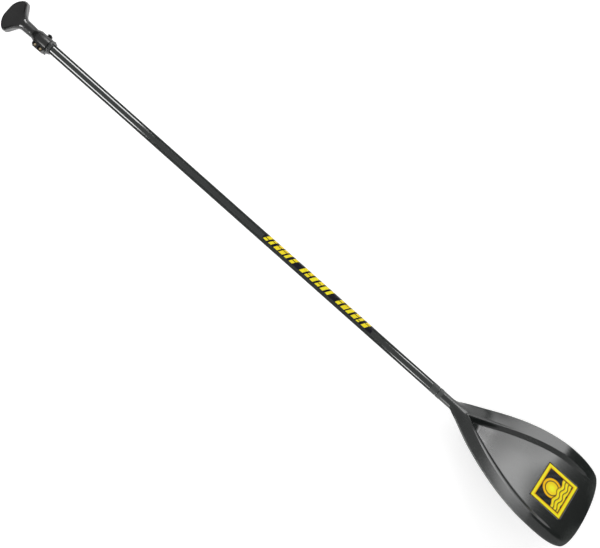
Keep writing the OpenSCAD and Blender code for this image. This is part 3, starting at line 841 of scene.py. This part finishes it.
def build_shaft_tube():
    """Two slots start at the tube's top, on opposite sides. Columns of points lie on the slots' edges."""
    half = 0.5 * slot_wide / shaft_r
    first, second = math.radians(45.0), math.radians(225.0)
    edges = [first - half, first + half, second - half, second + half, first - half + 2 * np.pi]
    parts = zip(edges[:-1], edges[1:], (5, 92, 5, 92))
    angle = np.concatenate([np.linspace(start, end, count)[:-1] for start, end, count in parts])
    slot_end = x_tube_top + slot_long
    ends = np.array([0.0, 0.15, 0.4]) * MM
    beside = np.linspace(x_tube_top + 0.002, slot_end, 8)
    past = np.linspace(slot_end, x_tube_end - 0.002, 42)[1:]
    x = np.concatenate([x_tube_top + ends, beside, past, x_tube_end - ends[::-1]])
    from_end = np.minimum(x - x_tube_top, x_tube_end - x)
    worn = 0.25 * MM * np.clip(1 - from_end / (0.4 * MM), 0, 1) ** 2
    middle = 0.5 * (angle + np.roll(angle, -1) + np.r_[np.zeros(len(angle) - 1), 2 * np.pi])
    in_slot = (np.abs(middle - first) < half) | (np.abs(middle - second) < half)
    keep = ~(in_slot[None, :] & (x[1:, None] <= slot_end + 1e-6))
    outer, inner = round_grid(x, shaft_r - worn, angle), round_grid(x, shaft_r - tube_wall, angle)
    points, faces = shell(outer, inner, keep)
    place(
        "shaft_tube_painted", "shaft", shaft_paint, "shaft_metal", points, faces, ("shaft_tube",), sharp=35
    )


def build_ferrule():
    """A short sleeve, matte like the neck, with soft edges and a bevelled joint at its lower end."""
    r = span("ferrule")[1][1]
    x0, x1 = x_tube_end, x_neck_blade
    low = shaft_r - tube_wall
    profile = rounded(
        [(x0, low), (x0, r), (x1 - 0.0012, r), (x1 - 0.0008, r - 0.0005), (x1 - 0.0007, low)], 0.0003
    )
    place(
        "ferrule_sleeve", "shaft", ferrule_plastic, "ferrule_plastic", *turn(profile), ("ferrule",), sharp=50
    )


build_shaft_tube()
build_ferrule()


# %% Foam plug
def build_float_plug():
    """A plug of closed-cell foam that is pushed up to the blade's spigot; its ends are a little torn."""
    low, high = span("float_plug")
    r = high[1]
    corners = [(low[0], 0.0), (low[0], r), (high[0], r), (high[0], 0.0)]
    profile = rounded(corners, [0.0, 0.0008, 0.0008, 0.0], 6)
    profile = np.vstack([profile[:1], profile[profile[:, 1] > 1e-6], profile[-1:]])
    rows = [profile[0]]
    for a, b in zip(profile[:-1], profile[1:]):
        count = max(1, int(np.hypot(*(b - a)) / 0.0012))
        rows += [mix(a, b, (k + 1) / count) for k in range(count)]
    points, faces = turn(rows, 64)
    pull = np.random.default_rng(7).normal(0, 0.00012, points.shape[:2])
    points[..., 1:] *= (1 - np.abs(pull) / r)[..., None]
    place("float_plug_foam", "shaft", plug_foam, "plug_foam", points, faces, ("float_plug",), weld=True)


build_float_plug()

# %% [markdown]
# ## The handle tube and its guide
# The inner tube slides and turns in the shaft. It has a plug with a short post on its lower end, and a split
# acetal bush on the post keeps the tube in the middle of the shaft.

# %% Inner tube, end plug and bush
post_r = 0.62 * handle_r


def build_inner_tube():
    """A thin satin tube with broken edges."""
    low = handle_r - tube_wall
    corners = [(x_handle, low), (x_handle, handle_r), (x_handle_end, handle_r), (x_handle_end, low)]
    place(
        "inner_tube_satin", "handle", handle_metal, "handle_metal", *turn(rounded(corners, 0.0003, 4)),
        ("inner_tube",), sharp=50,
    )


def build_end_plug():
    """Shank in the tube, flange against its end, the post, and a barbed head that snaps through the bush."""
    low, high = span("tube_end_plug")
    x1, x2 = x_handle_end + 0.002, high[0] - 0.0025
    shank = handle_r - tube_wall - 0.00002
    profile = rounded(
        [
            (low[0], 0.0), (low[0], shank), (x_handle_end, shank), (x_handle_end, handle_r),
            (x1, handle_r), (x1, post_r), (x2, post_r), (x2, post_r + 0.002),
            (high[0], post_r + 0.0012), (high[0], 0.0),
        ],
        [0.0, 0.0005, 0.0001, 0.0003, 0.0003, 0.0002, 0.0002, 0.0004, 0.0006, 0.0],
    )
    place(
        "tube_end_plug_moulded", "handle", clamp_plastic, "clamp_plastic", *turn(profile, 96),
        ("tube_end_plug",), weld=True, sharp=50,
    )


def build_guide_bush():
    """A ring split along its length, with three shallow grease grooves round it."""
    low, high = span("guide_bush")
    r, x = high[1], np.linspace(low[0], high[0], 81)
    half = 0.001 / r
    angle = np.linspace(0.5 * np.pi + half, 2.5 * np.pi - half, 120)
    from_end = np.minimum(x - x[0], x[-1] - x)
    along = (x - x[0]) / (x[-1] - x[0])
    grooves = sum(np.exp(-(((along - at) / 0.02) ** 2)) for at in (0.25, 0.5, 0.75))
    outer = r - 0.0006 * (1 - ease(from_end / 0.001)) - 0.0004 * grooves
    walls = round_grid(x, outer, angle), round_grid(x, post_r + 0.00005, angle)
    place(
        "guide_bush_split", "slider", bush_plastic, "bush_plastic", *shell(*walls, around=False),
        ("guide_bush",), sharp=50,
    )


build_inner_tube()
build_end_plug()
build_guide_bush()

# %% [markdown]
# ## The grip
# The grip is a boxy palm, moulded as two shells that meet on the middle plane, with a raised rim round its
# flat face. Its sections go from a rounded box at the palm to a circle at the neck: points lie on a curve
# where the n-th powers of y over the half width and z over the half thickness add to one, and n falls from 8
# to 2. The drawing is in millimetres from the top of the palm.

# %% The grip's drawing
grip_len = (x_neck - x_grip) / MM
grip_half = span("grip_front_shell")[1][1] / MM
palm_thick = span("grip_front_shell")[1][2] / MM
neck_top_r, neck_end_r = 14.3, 13.4
wing_at = 25 / 58.5 * grip_len
palm_round, palm_box = 0.15, 8.0
rim_wide, rim_high, rim_soft = 3.4, 1.1, 3.0
grip_wall, end_wall = 2.2, 1.8
shell_rows, shell_columns = 150, 200


def palm_width(x):
    """Half width: a rounded top, then a flank that is a cubic curve in both directions, read off by its x."""
    t = np.linspace(0, 1, 500)
    flank_x = bezier([wing_at, wing_at + 0.14 * grip_len, wing_at + 0.26 * grip_len, grip_len], t)
    flank_y = bezier([grip_half, grip_half, neck_top_r + 0.3, neck_top_r], t)
    top = grip_half * (1 - np.clip((wing_at - x) / wing_at, 0, 1) ** 1.8) ** (1 / 1.8)
    return np.where(x < wing_at, np.maximum(12.0, top), np.interp(x, flank_x, flank_y))


def palm_half(x):
    """Half thickness: rounded over the top of the palm, level, then up to the neck's radius."""
    round_at = palm_round * grip_len
    nose = (1 - np.clip((round_at - x) / round_at, 0, 1) ** 2.5) ** 0.4
    body = mix(palm_thick, neck_top_r, ease((x - 0.62 * grip_len) / (0.31 * grip_len)))
    return np.where(x < round_at, palm_thick * nose, body)


def palm_power(x):
    """How boxy the section is."""
    return mix(palm_box, 2.0, ease((x - 0.55 * grip_len) / (0.3 * grip_len)))


def outline_gap(x, y):
    """Distance in plan from each point to the grip's outline, as the least over many of its points."""
    along = grip_len * np.linspace(0, 1, 260) ** 2
    line_x = np.concatenate([np.zeros(16), along])
    line_y = np.concatenate([np.linspace(0, 12, 16), palm_width(along)])
    return np.hypot(x[..., None] - line_x, np.abs(y)[..., None] - line_y).min(-1)


# %% The grip's two shells
def grip_surface(side, cut, sunk):
    """One face of a shell in mm: side is +1 for the front and -1 for the back, cut is how far it lies inside,
    and sunk is the depth of the panel within the rim."""
    x = cut + (grip_len - cut) * np.linspace(0, 1, shell_rows) ** 1.5
    at = np.linspace(0, np.pi, shell_columns)
    angle = at + 0.15 * np.sin(4 * at)
    wall = np.where(cut > 0, mix(grip_wall, end_wall, ease((x - 0.7 * grip_len) / (0.2 * grip_len))), 0.0)
    w, b, n = palm_width(x) - wall, np.maximum(palm_half(x) - wall, 0.4), palm_power(x)
    b[0] = 0.0
    c, s = np.cos(angle), np.sin(angle)
    far = (np.abs(c) ** n[:, None] + np.abs(s) ** n[:, None]) ** (1 / n[:, None])
    y, z = w[:, None] * c / far, b[:, None] * s / far
    z[:, [0, -1]] = 0.0
    grid_x = np.broadcast_to(x[:, None], y.shape)
    if sunk:
        panel = ease((outline_gap(grid_x, y) - rim_wide) / rim_soft)
        panel = panel * (1 - ease((x - 0.70 * grip_len) / 12.0))[:, None]
        z = z - sunk * panel * ease((z - 0.4 * palm_thick) / (0.4 * palm_thick))
    if not cut:
        y = y - 0.2 * np.sign(y) * (1 - ease(z / 0.5))
    return np.stack([grid_x, side * y, side * z], -1)


def build_grip_shell(which, side, sunk):
    """Outer and inner face of one shell, joined along the parting line and the neck."""
    outer, inner = grip_surface(side, 0.0, sunk), grip_surface(side, grip_wall, 0.0)
    for face in (outer, inner):
        face[..., 0] += x_grip / MM
    place(
        f"grip_{which}_moulding", "handle", grip_plastic, "grip_plastic",
        *shell(outer * MM, inner * MM, around=False), (f"grip_{which}_shell",), weld=True, sharp=40,
    )


build_grip_shell("front", 1, rim_high)
build_grip_shell("back", -1, 0.0)


# %% Neck sleeve
def build_neck():
    """The core's post inside the palm, and the visible sleeve with shallow rings and the tube's bore."""
    r0, r1 = neck_top_r * MM, neck_end_r * MM
    low = span("grip_core")[0][0]
    bore = handle_r + 0.00002
    r_in = r0 - 0.00182
    post = 0.7 * (palm_thick - grip_wall) * MM
    ribs, rib_deep, rib_wide = 5, 0.00035, 0.00042
    long = x_neck_end - x_neck
    pitch = long / (ribs + 0.6)
    sleeve = np.linspace(0, long, 240)
    r = mix(r0, r1, sleeve / long)
    for k in range(ribs):
        r = r - rib_deep * np.exp(-(((sleeve - (k + 1) * pitch) / rib_wide) ** 2))
    r = r - 0.0005 * (1 - ease((long - sleeve) / 0.0007))
    waist = [(x_neck - 0.0056, post), (x_neck - 0.0026, r_in), (x_neck, r_in)]
    inner = rounded([(low, 0.0), (low, post), *waist], 0.0004)
    inner = inner[(inner[:, 1] > 0.001) & (inner[:, 0] < x_neck - 1e-5)]
    profile = np.concatenate(
        [
            [(low, 0.0)], inner, [(x_neck, r_in)], np.stack([x_neck + sleeve, r], -1),
            [(x_neck_end, bore), (x_handle, bore), (x_handle, 0.0)],
        ]
    )
    place(
        "neck_sleeve", "handle", neck_plastic, "neck_plastic", *turn(profile), ("grip_core",), weld=True,
        sharp=50,
    )


build_neck()


# %% The rivet, and other turned fittings at any angle
def turned_at(name, body, material, slot, origin, axis, profile, part):
    """A small fitting turned from a profile of (along, r) about an axis through the origin."""
    points, faces = turn(profile, 64)
    z = np.array(axis, float) / np.linalg.norm(axis)
    side = np.cross(z, [1.0, 0.0, 0.0] if abs(z[0]) < 0.9 else [0.0, 1.0, 0.0])
    side /= np.linalg.norm(side)
    points = np.asarray(origin) + points @ np.stack([z, side, np.cross(z, side)])
    place(name, body, material, slot, points, faces, (part,), weld=True, sharp=40)


def build_rivet():
    """A blind rivet: the shank through the neck and the tube's wall, and a domed head with a dimple."""
    low, high = span("grip_rivet")
    tilt = math.radians(25.0)
    seat, shank, head = 0.0125, 0.0012, 0.0021
    start = handle_r - tube_wall - 0.002
    at = np.linspace(0.5 * math.pi, 0.16, 10)
    dome = np.stack([seat + 0.0009 + 0.0006 * np.cos(at), head * np.sin(at)], -1)
    profile = [(start, 0.0), (start, shank), (seat, shank), (seat, head), *dome, (seat + 0.0011, 0.0)]
    turned_at(
        "grip_rivet_domed", "handle", rivet_metal, "rivet_metal", (0.5 * (low[0] + high[0]), 0, 0),
        (0.0, -math.sin(tilt), math.cos(tilt)), profile, "grip_rivet",
    )


build_rivet()

# %% [markdown]
# ## The clamp
# A split collar squeezes the shaft's slotted top onto the handle tube. Two eye bolts hang on the lever's pin,
# run up through the ears and end in brass nuts. Pulling the lever round its cam draws the bolts down.

# %% Clamp mouldings
def round_tab(work):
    """Rounds the lever's tab at its corners: cuts it into strips there and draws each back along a circle."""
    reach, radius = span("cam_lever")[1][1], 4.6 * MM
    tab = reach - 1.6 * MM
    ends = [v.co.x for v in work.verts if v.co.y > tab]
    low, high = min(ends) + radius, max(ends) - radius
    for turn_by in np.linspace(0.0, 1.5, 9):
        for at in (low - radius * math.sin(turn_by), high + radius * math.sin(turn_by)):
            every = work.verts[:] + work.edges[:] + work.faces[:]
            bmesh.ops.bisect_plane(work, geom=every, plane_co=(at, 0, 0), plane_no=(1, 0, 0))
    drawn = [v for v in work.verts if v.co.y > tab]
    for v in drawn:
        off = min(max(low - v.co.x, v.co.x - high, 0.0), radius)
        v.co.y -= radius - math.sqrt(radius**2 - off**2)
    print(f"cam_lever: {len(drawn)} points of the tab's end drawn to a round")


softened("clamp_collar", "shaft", clamp_plastic, 0.35 * MM, 3)
softened("cam_lever", "lever", clamp_plastic, 0.3 * MM, 2, round_tab)
softened("cam_plate", "shaft", steel, 0.15 * MM)
for letter in "ab":
    softened("nut_" + letter, "clamp_bolts", nut_brass, 0.25 * MM, 3)
    softened("eye_bolt_" + letter, "clamp_bolts", steel, 0.12 * MM)


# %% Washers, pin and end ring
def build_washer(name):
    """A stamped washer: one edge rounded and the other sharp."""
    low, high = span(name)
    x, y = 0.5 * (low[:2] + high[:2])
    r, thick, hole = 0.5 * (high[0] - low[0]), high[2] - low[2], 0.00152
    corners = [(0, hole), (0, r), (thick, r), (thick, hole)]
    profile = rounded(corners, [0.00005, 0.00005, 0.0002, 0.0001], 4)
    turned_at(name + "_stamped", "clamp_bolts", steel, "steel", (x, y, low[2]), (0, 0, 1), profile, name)


def build_pin():
    """The lever's pin, with chamfered ends."""
    low, high = span("lever_pin")
    r, long = 0.5 * (high[2] - low[2]), high[0] - low[0]
    profile = rounded([(0, 0), (0, r), (long, r), (long, 0)], [0.0, 0.0004, 0.0004, 0.0], 4)
    middle = 0.5 * (low + high)
    turned_at(
        "lever_pin_ground", "clamp_bolts", steel, "steel", (low[0], *middle[1:]), (1, 0, 0), profile,
        "lever_pin",
    )


def build_collar_ring():
    """The end ring below the collar: a rounded lip, a waist and a skirt that runs out on the shaft."""
    top = span("collar_ring")[1][1]
    x0, x1 = x_ring, x_ring_end
    bore = shaft_r + 0.00002
    profile = rounded(
        [
            (x0, bore), (x0, top - 0.0018), (x0 + 0.0014, top - 0.0010), (x0 + 0.0032, top),
            (x0 + 0.0044, top), (x0 + 0.0056, top - 0.0014), (x1 - 0.0006, top - 0.0028),
            (x1, top - 0.0034), (x1, bore),
        ],
        0.0005,
        6,
    )
    place(
        "collar_ring_moulded", "shaft", ring_plastic, "ring_plastic", *turn(profile), ("collar_ring",),
        sharp=60,
    )


build_washer("washer_a")
build_washer("washer_b")
build_pin()
build_collar_ring()

# %% [markdown]
# ## Printed films
# Two films carry the colour. A long one on the shaft has a row of slanted bars, and an oblong one on the
# blade has a sun over waves on carbon cloth. Both are plain patterns worked out from the film's own UV in
# metres.

# %% Masks for print
def step_at(value, at, soft):
    """Goes from 0 to 1 where a value passes a mark, over a soft width."""
    return slide(sums("SUBTRACT", value, at), -0.5 * soft, 0.5 * soft)


def between_marks(value, low, high, soft):
    """1 between two marks and 0 outside."""
    below = sums("SUBTRACT", 1.0, step_at(value, high, soft))
    return times(step_at(value, low, soft), below)


yellow, badge_yellow, orange = (0.97, 0.86, 0.02), (1.0, 0.96, 0.03), (1.0, 0.52, 0.0)
ink, pale_line = (0.003, 0.003, 0.008), (0.33, 0.33, 0.35)


# %% The shaft's film
def build_shaft_film():
    """Slanted bars of many widths. The film is cut into cells along its length, and each cell draws its bar's
    width, its gap's height and its tint from its own random numbers."""
    material, tree, shader = finish("printed shaft film", ink, 0.28, IOR=1.35)
    cell_long, lean, word, in_word = 0.0168, -0.62, 7.0, 5.5
    film_wide, film_long, margin = 0.0238, 0.353, (0.0016, 0.003)
    along, across = axes(node(tree, "TexCoord").outputs["UV"])[:2]
    cell = sums("DIVIDE", line(across, lean, along), cell_long)
    number, place_in = sums("FLOOR", cell), sums("FRACT", cell)
    chance = axes(linked("TexWhiteNoise", {"W": number}, noise_dimensions="1D").outputs["Color"])
    bar = between_marks(place_in, 0.08, line(chance[0], 0.30, 0.56), 0.06)
    from_gap = sums("SUBTRACT", across, line(chance[1], 0.010, 0.0065))
    gap = step_at(sums("ABSOLUTE", from_gap), 0.0009, 0.0004)
    whole = sums("SUBTRACT", 1.0, sums("GREATER_THAN", chance[2], 0.45))
    gap = sums("MAXIMUM", gap, whole)
    in_width = between_marks(across, margin[0], film_wide - margin[0], 0.0005)
    in_length = between_marks(along, margin[1], film_long - margin[1], 0.0006)
    no_rest = sums("LESS_THAN", sums("FLOORED_MODULO", number, word), in_word)
    printed_at = times(bar, gap, in_width, in_length, no_rest)
    tint = line(across, 30.0, line(chance[2], 0.5, -0.25), clamp=True)
    drawn = blend_colours(times(tint, 0.55), yellow, orange)
    lines = hairs(tree, 1500.0, 12.0, 0.35)
    printed = blend_colours(printed_at, ink, drawn)
    worn = blend_colours(times(lines, 0.25), printed, (0.10, 0.10, 0.10))
    dress(shader, worn, line(lines, 0.2, 0.26))
    return material


# %% The badge's film
def build_badge_film():
    """A sun over three waves in a broad frame, in flat print. Places are in metres from the badge's middle,
    up towards the grip. The ground is carbon cloth under a clear layer."""
    material, tree, shader = finish("printed badge film", ink, 0.40, IOR=1.3, Specular_IOR_Level=0.25)
    uv = node(tree, "TexCoord").outputs["UV"]
    up, side = axes(uv)[:2]
    horizon, crisp = -0.0060, 0.0004
    sun_up, sun_r, ring_in, ring_out = 0.0075, 0.0170, 0.0195, 0.0255
    wave_pitch, wave_high, wave_wide = 0.030, 0.0024, 0.0072
    half_up, half_side, field_in = 0.048, 0.056, 0.0150
    cloth = use(tree, weave, Tows_per_metre=190.0, Place=uv)
    tow = times(cloth["Shade"], line(cloth["Warp"], 0.6, 0.4))
    ground = blend_colours(tow, (0.003, 0.003, 0.004), (0.038, 0.039, 0.042))
    from_sun = sums("SUBTRACT", up, sun_up)
    squares = [sums("POWER", part, 2.0) for part in (from_sun, side)]
    far = sums("SQRT", sums("ADD", *squares))
    disc = sums("SUBTRACT", 1.0, step_at(far, sun_r, crisp))
    ring = between_marks(far, ring_in, ring_out, crisp)
    swell = times(sums("SINE", times(side, 2 * math.pi / wave_pitch)), wave_high)
    level = sums("SUBTRACT", up, swell)
    above = step_at(level, horizon, crisp)
    picture = times(sums("MAXIMUM", disc, ring), above)
    for low in (-0.0150, -0.0245, -0.0340):
        picture = sums("MAXIMUM", picture, between_marks(level, low, low + wave_wide, crisp))
    from_side = sums("SUBTRACT", half_side, sums("ABSOLUTE", side))
    from_end = sums("SUBTRACT", half_up, sums("ABSOLUTE", up))
    inward = sums("MINIMUM", from_side, from_end)
    frame_line = between_marks(inward, 0.0036, 0.0125, crisp)
    field = step_at(inward, field_in, crisp)
    drawn = sums("MAXIMUM", times(picture, field), frame_line)
    ridge = line(sums("ABSOLUTE", sums("SUBTRACT", inward, 0.0070)), 230.0, -0.1, clamp=True)
    glow = line(far, 50.0, -0.20, clamp=True)
    shade = sums("FRACT", line(level, 105.0, 0.58))
    tint = blend(frame_line, blend(above, shade, glow), ridge)
    base = blend_colours(step_at(inward, field_in - 0.0005, crisp), ink, ground)
    printed = blend_colours(drawn, base, blend_colours(tint, badge_yellow, orange))
    piping = between_marks(inward, 0.0003, 0.0011, 0.0003)
    edged = blend_colours(piping, printed, pale_line)
    lines = hairs(tree, 700.0, 24.0, 0.3)
    worn = blend_colours(times(lines, 0.15), edged, (0.14, 0.14, 0.14))
    raised = linked("Bump", {"Height": drawn, "Distance": 0.00006, "Strength": 0.5})
    dress(shader, worn, line(lines, 0.2, 0.38), raised.outputs["Normal"])
    return material


shaft_film, badge_film = build_shaft_film(), build_badge_film()


# %% Films in place
def lay_film(name, material, outer, inner, uv, replaces=()):
    """A thin film between two grids, with the same UV in metres on both sides."""
    points, faces = shell(outer, inner, around=False)
    place(name, "shaft", material, "badge_film", points, faces, replaces, uv=np.stack([uv, uv]), sharp=60)


def build_shaft_graphic():
    """A film 0.12 mm thick on the shaft, from a little past the top towards the far side."""
    x = np.linspace(0.0700, 0.4242, 120)
    angle = np.radians(np.linspace(110.0, 0.0, 45))
    outer, inner = (round_grid(x, shaft_r + high * MM, angle) for high in (0.12, 0.01))
    uv = np.stack(np.meshgrid(x - x[0], shaft_r * (angle[0] - angle), indexing="ij"), -1)
    lay_film("shaft_graphic", shaft_film, outer, inner, uv)


def build_badge():
    """The badge follows the blade's front, turned a little to lie along the shaft: a film 0.6 mm thick with
    rounded corners and a soft edge."""
    long, across, turned, shift = 96.0, 112.0, math.radians(3.0), 2.5
    middle, film, lift = blade_len - 98.0, 0.6, 0.12
    t = np.linspace(-1, 1, 97)
    a, b = np.meshgrid(t, t, indexing="ij")
    edge = np.maximum(np.abs(a), np.abs(b))
    cut = 1 - 0.035 * (np.abs(a) * np.abs(b)) ** 14
    a, b = 0.5 * long * a * cut, 0.5 * across * b * cut
    u = middle + a * math.cos(turned) + b * math.sin(turned)
    w = b * math.cos(turned) - a * math.sin(turned) - shift
    under = front_z(u, w, np.interp(u, plan_u, plan_w)) + lift
    top = under + film - 0.25 * rise(edge, 0.985, 0.015)
    outer, inner = (blade_to_frame(np.stack([u, w, z], -1)) for z in (top, under))
    lay_film("badge_printed", badge_film, outer, inner, np.stack([-a, b], -1) * MM, ("blade_badge",))


build_shaft_graphic()
build_badge()

# %% [markdown]
# ## The studio
# The paddle lies on a white floor under an even white sky. Gloss black shows mainly what it mirrors, so most
# of the work is in what stands beside it: soft boxes give the long highlights, black flags keep the flanks
# dark, and grey cards stand between them. The camera sees none of these.

# %% Soft boxes
upward = [(0.0, 0.35), (0.20, 0.60), (0.42, 0.66), (0.60, 1.0), (0.84, 1.0), (0.93, 0.55), (1.0, 0.0)]
towards_grip = [(0.13, 0.0), (0.27, 0.30), (0.39, 0.50), (0.48, 0.72), (0.55, 0.88), (0.61, 1.0)]
towards_tip = [(0.68, 1.0), (0.76, 0.70), (0.81, 0.42), (0.865, 0.17), (0.93, 0.08), (1.0, 0.0)]


def lamp(name, at, aim, wide, high, radiance, graded=False, from_tip=False):
    """A soft box whose power is its radiance times pi times its area. A graded one's cloth thins towards its
    top and towards both its sides, which lean apart downward."""
    light = bpy.data.lights.new(name, "AREA")
    if graded:
        light.use_nodes = True
        tree = light.node_tree
        across, up = axes(node(tree, "NewGeometry").outputs["Parametric"])[:2]
        along = sums("SUBTRACT", 1.0, across) if from_tip else across
        low = sums("SUBTRACT", 0.6, up)
        grip_end = line(sums("ABSOLUTE", low), 0.7, along)
        tip_end = line(sums("MAXIMUM", low, 0.0), -0.7, along)
        sides = times(steps_of(grip_end, towards_grip), steps_of(tip_end, towards_tip))
        cloth = times(sides, steps_of(up, upward, "EASE"))
        tree.links.new(cloth, tree.nodes["Emission"].inputs["Strength"])
    light.shape = "RECTANGLE"
    light.size, light.size_y = wide, high
    light.energy = radiance * math.pi * wide * high
    box = new_object(name, light)
    box.location = at
    box.rotation_euler = (Vector(aim) - Vector(at)).to_track_quat("-Z", "Y").to_euler()
    box.visible_camera = False


for side in (1, -1):
    lamp(f"grip side box {side}", (-1.20, 1.9 * side, 1.05), (-1.20, 0, 0.0), 0.70, 1.1, 11.0)
    lamp(
        f"blade side box {side}", (1.19, 1.9 * side, 0.75), (1.19, 0, 0.75), 0.66, 1.30, 6.2,
        graded=True, from_tip=side > 0,
    )
    lamp(f"shaft end box {side}", (0.875, 1.88 * side, 0.90), (0.875, 0, 0.90), 0.17, 0.66, 10.0)
print("soft boxes:", len(bpy.data.lights))


# %% Sky
def seen_straight(tree):
    """1 for rays from the camera, a mirror or glass, and 0 for those that gather soft light."""
    path = node(tree, "LightPath").outputs
    mirrored = sums("MAXIMUM", path["Is Glossy Ray"], path["Is Transmission Ray"])
    return sums("MAXIMUM", path["Is Camera Ray"], mirrored)


def build_sky():
    """White air. Seen straight it's brighter than as a lamp, and it darkens towards the zenith."""
    scene = bpy.context.scene
    scene.world = bpy.data.worlds.new("studio air")
    scene.world.use_nodes = True
    tree = scene.world.node_tree
    back = tree.nodes["Background"]
    back.inputs["Color"].default_value = (1, 1, 1, 1)
    up = axes(node(tree, "TexCoord").outputs["Generated"])[2]
    strength = blend(seen_straight(tree), 0.7, line(up, -0.55, 1.0))
    tree.links.new(strength, back.inputs["Strength"])
    scene.view_settings.view_transform = "Standard"


build_sky()


# %% Flags, cards and floor
def sheet(name, corners, grey, roughness):
    """A flat staged sheet of one grey, with its shader's tree for more."""
    mesh = bpy.data.meshes.new(name)
    mesh.from_pydata(corners, [], [(0, 1, 2, 3)])
    material, tree, shader = finish(name.replace("_", " "), (grey, grey, grey), roughness)
    mesh.materials.append(material)
    made = new_object(name, mesh)
    made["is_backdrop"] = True
    return made, tree, shader


def flag(name, x0, x1, y0, y1, high, grey=0.01):
    """An upright card on the ground that the camera doesn't see, black if nothing else is said."""
    corners = [(x0, y0, 0.0), (x1, y1, 0.0), (x1, y1, high), (x0, y0, high)]
    sheet(name, corners, grey, 0.9)[0].visible_camera = False


def build_floor():
    """A wide white floor a little below the part. Seen straight it gives some light of its own."""
    half, below = 20.0, 0.001
    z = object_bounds()[0].z - below
    corners = [(-half, -half, z), (half, -half, z), (half, half, z), (-half, half, z)]
    tree, shader = sheet("studio_floor", corners, 0.75, 0.8)[1:]
    shader.inputs["Emission Color"].default_value = (1, 1, 1, 1)
    tree.links.new(times(seen_straight(tree), 0.52), shader.inputs["Emission Strength"])


wall_y, grip_x, tip_x = 2.1, -2.6, 3.2
shaft_from, shaft_to = -0.80, 0.82
for side in (1, -1):
    flag(f"grip flag {side}", grip_x, shaft_from, wall_y * side, wall_y * side, 2.0)
    flag(f"blade flag {side}", shaft_to, tip_x, wall_y * side, wall_y * side, 1.3)
for side in (1, -1):
    flag(f"middle card {side}", shaft_from, shaft_to, wall_y * side, wall_y * side, 2.0, 0.45)
flag("grip end flag", grip_x, grip_x, -wall_y, wall_y, 2.0)
flag("blade end flag", tip_x, tip_x, -wall_y, wall_y, 2.0)
build_floor()

# %% Camera
camera = bpy.data.cameras.new("camera")
camera.lens = 54.0
camera.sensor_width = 36.0
eye = new_object("camera", camera)
eye.location = (0.1989, -0.0087, 2.214)
eye.rotation_euler = (0, 0, math.radians(41.6128))
bpy.context.scene.camera = eye
print(f"camera: {camera.lens:.0f} mm lens, {eye.location.z:.2f} m above the ground")
